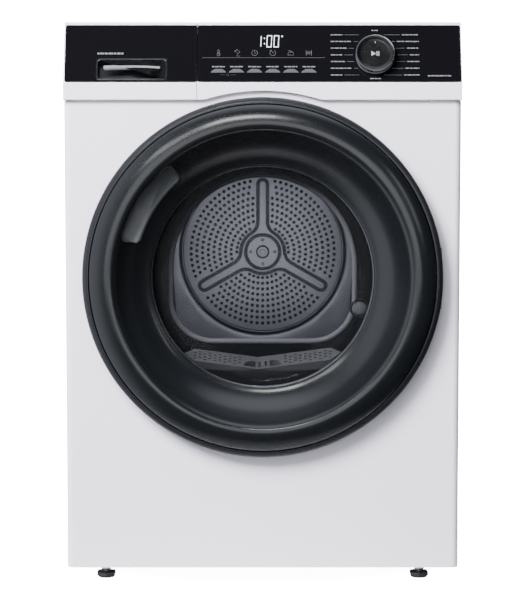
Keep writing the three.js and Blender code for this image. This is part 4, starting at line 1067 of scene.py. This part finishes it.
def programme_names():
    """Bars for the programme names, each with a short level line on its knob side."""
    knob = (KNOB_CENTRE.x / MM, KNOB_CENTRE.y / MM)
    edge, clear_of_ring = 66, 33
    left_rows, right_rows, routes = [], [], []
    for row, (left_word, right_word) in enumerate(zip((18, 31, 24, 17, 21, 32, 17),
                                                      (25, 33, 18, 14, 18, 21, 23))):
        up = 75 - 10.7 * row
        reach = math.sqrt(max(clear_of_ring ** 2 - (up - 42.9) ** 2, 0))
        left_rows.append((knob[0] - edge, knob[0] - edge + left_word, up))
        routes.append([(knob[0] - edge + left_word + 3, up), (knob[0] - max(reach, 24), up)])
        right_rows.append((knob[0] + edge - right_word, knob[0] + edge, up))
        routes.append([(knob[0] + max(reach, 13), up), (knob[0] + edge - right_word - 3, up)])
    bars(left_rows, "programmes_left", 1.6, GREY_INK)
    bars(right_rows, "programmes_right", 1.6, GREY_INK)
    bars([(knob[0] - 5, knob[0] + 5, 82), (knob[0] - 8, knob[0] + 8, 5)], "programmes_ends", 1.6, GREY_INK)
    lines(routes, "programme_leaders", 0.4, GREY_INK)
    bars([(246, 281, 9.5)], "capacity_bar", 1.9, GREY_INK)
    bars([(-247, -208, 45)], "type_bar", 2.6, GREY_INK)


def programme_knob():
    """A round knob with a dished face, a start and pause sign and a bright rim."""
    x, z = KNOB_CENTRE.x / MM, KNOB_CENTRE.y / MM
    rim, face = 14, 11
    profile = softened_path([(0, face), (20.5, face), (22.6, face + 0.3), (25.6, rim - 0.4), (27.4, rim)], 2)
    profile += [(28.2, rim), (28.4, rim - 3), (28.2, rim - 6), (27.4, 3.2), (27.2, 2.6), (0, 2.6)]
    knob = turned([(r * MM, -h * MM) for r, h in profile], (0, 0), 120)
    knob = flat_to_glass(knob, x, z)
    finished(smooth(knob, 40), "programme_knob_cap", "knob", KNOB_BLACK, ["program_knob"])
    ring = turned([(r * MM, -h * MM) for r, h in [
        (27.3, rim - 0.6), (27.5, rim + 0.3), (28.3, rim + 0.5), (28.9, rim + 0.1), (29.1, rim - 1.4),
        (28.2, rim - 2.4), (27.3, rim - 0.6)]], (0, 0), 120)
    ring = flat_to_glass(ring, x, z)
    finished(smooth(ring, 40), "programme_knob_ring", "knob", KNOB_RING, ["knob_ring"])
    foot_ring = turned([(r * MM, -h * MM) for r, h in [
        (27.3, 0.4), (28.9, 0.4), (29.1, 1.2), (28.4, 2.4), (27.6, 2.6), (27.3, 0.4)]], (0, 0), 96)
    finished(smooth(flat_to_glass(foot_ring, x, z), 50), "programme_knob_foot", "knob", KNOB_RING)
    marks = [[(-6, -4), (-6, 4), (0.4, 0)], box_outline(1.8, 3, -3.6, 3.6), box_outline(4.4, 5.6, -3.6, 3.6)]
    sign = sheet_of([[((x + a) * MM, (z + b) * MM) for a, b in mark] for mark in marks], INK,
                    on_glass((face + 0.02) * MM))
    finished(sign, "knob_sign", "knob", WHITE_INK)
    pointer = sheet_of([[((x + a) * MM, (z + b) * MM) for a, b in box_outline(-0.45, 0.45, 16.6, 19.4)]],
                       INK, on_glass((face + 0.02) * MM))
    finished(pointer, "knob_pointer", "knob", WHITE_INK)


def flat_to_glass(piece, x, z):
    """Takes a piece turned about Y at the origin and stands it on the glass at x, z."""
    piece.matrix_world = (LEAN_MATRIX @ Matrix.Translation((x * MM, z * MM, 0))
                          @ Matrix.Rotation(-math.pi / 2, 4, "X"))
    return settle(piece)


def rounded_box(left, right, foot, top, radius, steps=6):
    return [*arc(radius, 0, 90, (right - radius, top - radius), steps),
            *arc(radius, 90, 180, (left + radius, top - radius), steps),
            *arc(radius, 180, 270, (left + radius, foot + radius), steps),
            *arc(radius, 270, 360, (right - radius, foot + radius), steps)]


def tank_handle():
    """A rounded frame over the grip's edge, and the bar that the fingers pull, painted light grey as a
    highlight.
    """
    left, right, foot, top = -248.5 * MM, -142 * MM, 2.2 * MM, 37 * MM
    grip_frame = sheet_of([rounded_box(left, right, foot, top, 6 * MM),
                            rounded_box(left + 2.6 * MM, right - 2.6 * MM, foot + 2.6 * MM, top - 2.6 * MM,
                                        4.5 * MM)], 0.8 * MM, on_glass(0.35 * MM))
    finished(smooth(edged(grip_frame, 0.25 * MM, 2), 30), "tank_grip_frame", "tank_drawer", PIANO_BLACK)
    # The bar's light grey is a painted highlight, not the grip's own colour.
    bar = wires([[((left + right) / 2 + reach * MM, (24.5 - 0.0009 * reach ** 2) * MM, -4.4 * MM)
                  for reach in range(-42, 43, 6)]], 4.2 * MM, resolution=6)
    only(bar)
    bar.matrix_world = on_glass()
    finished(smooth(settle(bar), 60), "tank_grip_bar", "tank_drawer", GRIP_BAR_HIGHLIGHT)


tank_handle()
clock()
key_icons()
touch_keys()
programme_names()
programme_knob()

# ---- cabinet, fascia and drawer ----

def cabinet():
    """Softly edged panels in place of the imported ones."""
    for node, width in (("front_panel", 0.9), ("left_side_panel", 0.7), ("right_side_panel", 0.7)):
        finished(softened(node, width * MM), node + "_sheet", "root", ENAMEL, [node])
    finished(softened("top_panel", 2.2 * MM, 4, 25), "worktop", "root", WHITE_PLASTIC,
             ["top_panel"])
    finished(softened("fascia", 1.1 * MM, 3), "fascia_shell", "root", WHITE_PLASTIC,
             ["fascia"])
    finished(softened("tank_front", 1.1 * MM, 3), "tank_front_shell", "tank_drawer", WHITE_PLASTIC,
             ["tank_front"])
    finished(softened("control_glass", 0.4 * MM, 2), "control_glass_pane", "root", GLASS_BLACK,
             ["control_glass"])
    finished(softened("tank_glass", 0.4 * MM, 2), "tank_glass_pane", "tank_drawer", GLASS_BLACK,
             ["tank_glass"])
    finished(softened("tank_grip", 1.2 * MM, 3), "tank_grip_cup", "tank_drawer", SATIN_BLACK,
             ["tank_grip"])
    finished(softened("condensate_tank", 2 * MM, 3), "condensate_tank_shell", "tank_drawer",
             TANK_PLASTIC, ["condensate_tank"])


def side_pressings():
    """A long shallow bead on each side panel, which stiffens thin sheet."""
    for side, node in ((-1, "left_side_panel"), (1, "right_side_panel")):
        start, end = low(node), high(node)
        face = start.x if side < 0 else end.x
        border = [(start.y + 60 * MM, 90 * MM), (end.y - 60 * MM, 90 * MM),
                  (end.y - 60 * MM, 740 * MM), (start.y + 60 * MM, 740 * MM)]
        route = []
        for index, (y, z) in enumerate(border):
            turn = 180 + 90 * index
            inward_y = y + (24 * MM if index in (0, 3) else -24 * MM)
            inward_z = z + (24 * MM if index in (0, 1) else -24 * MM)
            route += [(face, inward_y + 24 * MM * math.cos(math.radians(turn + 90 * i / 6)),
                       inward_z + 24 * MM * math.sin(math.radians(turn + 90 * i / 6))) for i in range(7)]
        bead = wires([route], 2.4 * MM, closed=True, resolution=4)
        only(bead)
        bead.matrix_world = Matrix.Translation((face * 0.64, 0, 0)) @ Matrix.Scale(0.36, 4, (1, 0, 0))
        settle(bead)
        finished(smooth(bead, 60), node + "_bead", "root", ENAMEL)


# ---- back ----

def rear():
    panel = softened("rear_panel", 0.6 * MM)
    finished(panel, "rear_sheet", "root", ZINC, ["rear_panel"])
    finished(softened("rear_cover", 3 * MM, 3), "rear_duct_cover", "root", ZINC,
             ["rear_cover"])
    start, end = low("rear_panel"), high("rear_panel")
    for side in (-1, 1):
        for k in range(6):
            z = start.z + 26 * MM + (end.z - start.z - 52 * MM) * k / 5
            name = f"rear_screw_{'l' if side < 0 else 'r'}{k}"
            screw(side * (end.x - 13 * MM), z, REAR_Y, 4.4 * MM, name, "root")
    for k in range(8):
        x, z = polar(228 * MM, 22.5 + 45 * k, (0, DRUM_Z))
        screw(x, z, REAR_Y + 2.2 * MM, 4 * MM, f"cover_screw_{k}", "root")


def louvres(name, x0, x1, foot, rows, pitch):
    """A field of raised louvres in the back panel, each with a dark strip under its lip: painted shade where
    its opening is.
    """
    lips, slots = [], []
    for row in range(rows):
        z = foot + row * pitch
        lip = block((x0, REAR_Y - 0.2 * MM, z), (x1, REAR_Y + 4 * MM, z + 5 * MM))
        lips.append(edged(lip, 1.8 * MM, 3, 40))
        # painted shade: a dark strip in place of the shaded opening under each lip
        slots.append(block((x0 + 2 * MM, REAR_Y - 0.1 * MM, z - 2.6 * MM),
                           (x1 - 2 * MM, REAR_Y + 0.4 * MM, z - 0.2 * MM)))
    finished(smooth(joined(lips), 30), name + "_lips", "root", ZINC)
    finished(joined(slots), name + "_slots", "root", DARK_PLASTIC)


# ---- feet ----

def standing_rod(centre, sides, radius, foot_z, top_z):
    """A round or six-sided rod that stands on foot_z."""
    nothing()
    bpy.ops.mesh.primitive_cylinder_add(vertices=sides, radius=radius, depth=top_z - foot_z,
                                        location=(centre.x, centre.y, (foot_z + top_z) / 2))
    return settle(bpy.context.object)


def foot(node):
    """A hexagonal pad with a round sole, and a threaded stud that goes up into the base."""
    start, end = low(node), high(node)
    centre = (start + end) / 2
    pad = edged(standing_rod(centre, 6, (end.x - start.x) / 2, 3 * MM, 9.4 * MM), 1.1 * MM, 3)
    sole = edged(standing_rod(centre, 40, 13 * MM, 0, 3 * MM), 0.8 * MM, 2)
    finished(smooth(joined([pad, sole]), 30), node + "_pad", node, SATIN_BLACK, [node])

    turns, pitch, radius, steps = 24, 1.75 * MM, 4.7 * MM, 16
    helix = [(centre.x + radius * math.cos(math.tau * i / steps),
              centre.y + radius * math.sin(math.tau * i / steps),
              10 * MM + pitch * i / steps) for i in range(turns * steps)]
    thread = wires([helix], 0.75 * MM, resolution=1)
    stud = standing_rod(centre, 32, 4.6 * MM, 8 * MM, 54 * MM)
    nut = edged(standing_rod(centre, 6, 8.6 * MM, 12.7 * MM, 17.7 * MM), 0.7 * MM, 2)
    finished(smooth(joined([stud, thread, nut]), 35), node + "_stud", node, MACHINED)


def hidden_parts():
    """Softer copies of the pieces that show through the base, the door or the back."""
    for node, width, body, material, slot in (
            ("hinge_bracket", 0.5, "root", ZINC, "zinc_sheet"),
            ("hinge_leaf", 0.5, "door", ZINC, "zinc_sheet"),
            ("door_hook", 0.5, "door", ZINC, "zinc_sheet"),
            ("latch_housing", 0.6, "root", GREY_PLASTIC, "grey_plastic"),
            ("power_inlet", 0.5, "root", DARK_PLASTIC, "dark_plastic"),
            ("base_tray", 1.0, "root", GREY_PLASTIC, "grey_plastic")):
        finished(softened(node, width * MM), node + "_shape", body, material, [node])


cabinet()
side_pressings()
rear()
louvres("rear_intake", -250 * MM, -130 * MM, 60 * MM, 8, 14 * MM)
louvres("rear_outlet", 170 * MM, 262 * MM, 60 * MM, 8, 14 * MM)
for corner_foot in ("front_left_foot", "front_right_foot", "rear_left_foot", "rear_right_foot"):
    foot(corner_foot)
hidden_parts()


# ---- the rest of the machine's own finishes ----

dressed(SATIN_BLACK, "cooling_fan")
dressed(THROAT_BLACK, "front_bulkhead")
dressed(DARK_PLASTIC, "control_board", "blower_wheel", "blower_housing", "compressor", "cooling_fan_frame",
        "idler_wheel")
dressed(MACHINED, "hinge_pin", "drum_shaft", "left_roller_axle", "right_roller_axle", "motor_pulley")
dressed(ZINC, "rear_bearing", "motor", "idler_arm")
dressed(RUBBER, "drive_belt", "left_roller", "right_roller")
dressed(FELT, "front_felt_seal")
dressed(FINS, "evaporator", "condenser", "lint_filter_sieve")


# ---- floor, light and camera ----

def floor():
    """A pale floor that shows only near the machine, so the far edge of it never meets the backdrop."""
    nothing()
    bpy.ops.mesh.primitive_plane_add(size=3, location=(0, 0, 0))
    ground = settle(bpy.context.object)
    ground.name = "floor"
    f = Finish("floor_white", Base_Color=(0.93, 0.93, 0.95), Roughness=0.8, Specular_IOR_Level=0.1)
    squared = f.scaled(1.0, 1.1, 0)
    away = f.node("ShaderNodeVectorMath", {"operation": "LENGTH"}, {0: squared})["Value"]
    f.set(Alpha=f.between(away, 0.28, 0.62, 0.55, 0.0))
    ground.data.materials.append(f.material)


def soft_light(name, place, aim, size, power, colour=(1, 1, 1)):
    nothing()
    bpy.ops.object.light_add(type="AREA", location=place)
    lamp = bpy.context.object
    lamp.name = name
    lamp.rotation_euler = (Vector(aim) - Vector(place)).to_track_quat("-Z", "Y").to_euler()
    lamp.data.shape = "RECTANGLE"
    lamp.data.size, lamp.data.size_y = size
    lamp.data.energy = power
    lamp.data.color = colour
    return lamp


def surroundings():
    """A white backdrop for the camera; for the light, a studio that is bright above and to the left."""
    world = bpy.context.scene.world or bpy.data.worlds.new("world")
    bpy.context.scene.world = world
    world.use_nodes = True
    tree = world.node_tree
    tree.nodes.clear()

    def node(kind, inputs, **settings):
        made = tree.nodes.new(kind)
        for key, value in settings.items():
            setattr(made, key, value)
        for key, value in inputs.items():
            if isinstance(value, bpy.types.NodeSocket):
                tree.links.new(value, made.inputs[key])
            else:
                made.inputs[key].default_value = value
        return made

    def lobe(part, start, end, strength):
        return node("ShaderNodeMapRange", {
            "Value": part, "From Min": start, "From Max": end, "To Min": 0.0, "To Max": strength},
            interpolation_type="SMOOTHSTEP").outputs[0]

    def total(first, second):
        return node("ShaderNodeMath", {0: first, 1: second}, operation="ADD").outputs[0]

    way = node("ShaderNodeSeparateXYZ", {0: node("ShaderNodeTexCoord", {}).outputs["Generated"]})
    left = lobe(way.outputs[0], *LEFT_GLOW)
    above = lobe(way.outputs[2], *TOP_GLOW)
    strength = total(total(left, above), DIM)
    felt = node("ShaderNodeBackground", {"Color": (0.90, 0.94, 1, 1), "Strength": strength})
    seen = node("ShaderNodeBackground", {"Color": (1, 1, 1, 1), "Strength": SEEN_WHITE})
    path = node("ShaderNodeLightPath", {})
    mix = node("ShaderNodeMixShader", {0: path.outputs["Is Camera Ray"], 1: felt.outputs[0],
                                       2: seen.outputs[0]})
    node("ShaderNodeOutputWorld", {0: mix.outputs[0]})


def camera():
    nothing()
    bpy.ops.object.camera_add(
        location=(0, PANEL_FACE_Y - CAMERA_DISTANCE, CAMERA_HEIGHT),
        rotation=(math.pi / 2 - CAMERA_PITCH, 0, 0))
    eye = bpy.context.object
    eye.name = "camera"
    eye.data.lens = 120
    eye.data.shift_x = 0.0047
    bpy.context.scene.camera = eye


SEEN_WHITE = 30.0
DIM = 0.05
LEFT_GLOW = (-0.3, -0.85, 1.3)
TOP_GLOW = (0.74, 0.97, 2.2)
CAMERA_DISTANCE = 3.0
CAMERA_HEIGHT = 0.6846
CAMERA_PITCH = math.radians(4.88)

floor()
surroundings()
camera()
key = soft_light("key", (-1.7, -2.6, 2.6), (0, -0.26, 0.42), (1.6, 1.6), 550, (0.985, 0.968, 1))
key.visible_glossy = False
soft_light("streak", (-0.28, -2.95, 2.2), (0, -0.26, 0.7), (0.9, 0.34), 26)
soft_light("left_streak", (-1.25, -2.9, 1.95), (0, -0.26, 0.6), (0.8, 0.5), 9)
soft_light("right_streak", (1.75, -2.3, 1.25), (0, -0.26, 0.5), (0.3, 0.9), 2.5)
soft_light("front_card", (0, -3.5, 0.85), (0, 0, 0.85), (3.0, 1.4), 34, (0.95, 0.97, 1))
soft_light("back_fill", (2.1, 2.5, 1.7), (0.1, 0.1, 0.42), (1.6, 1.6), 190)
soft_light("drum_glow", (0, -0.15, 0.47), (0, 0.215, 0.47), (0.25, 0.25), 0.5, (0.95, 0.97, 1))
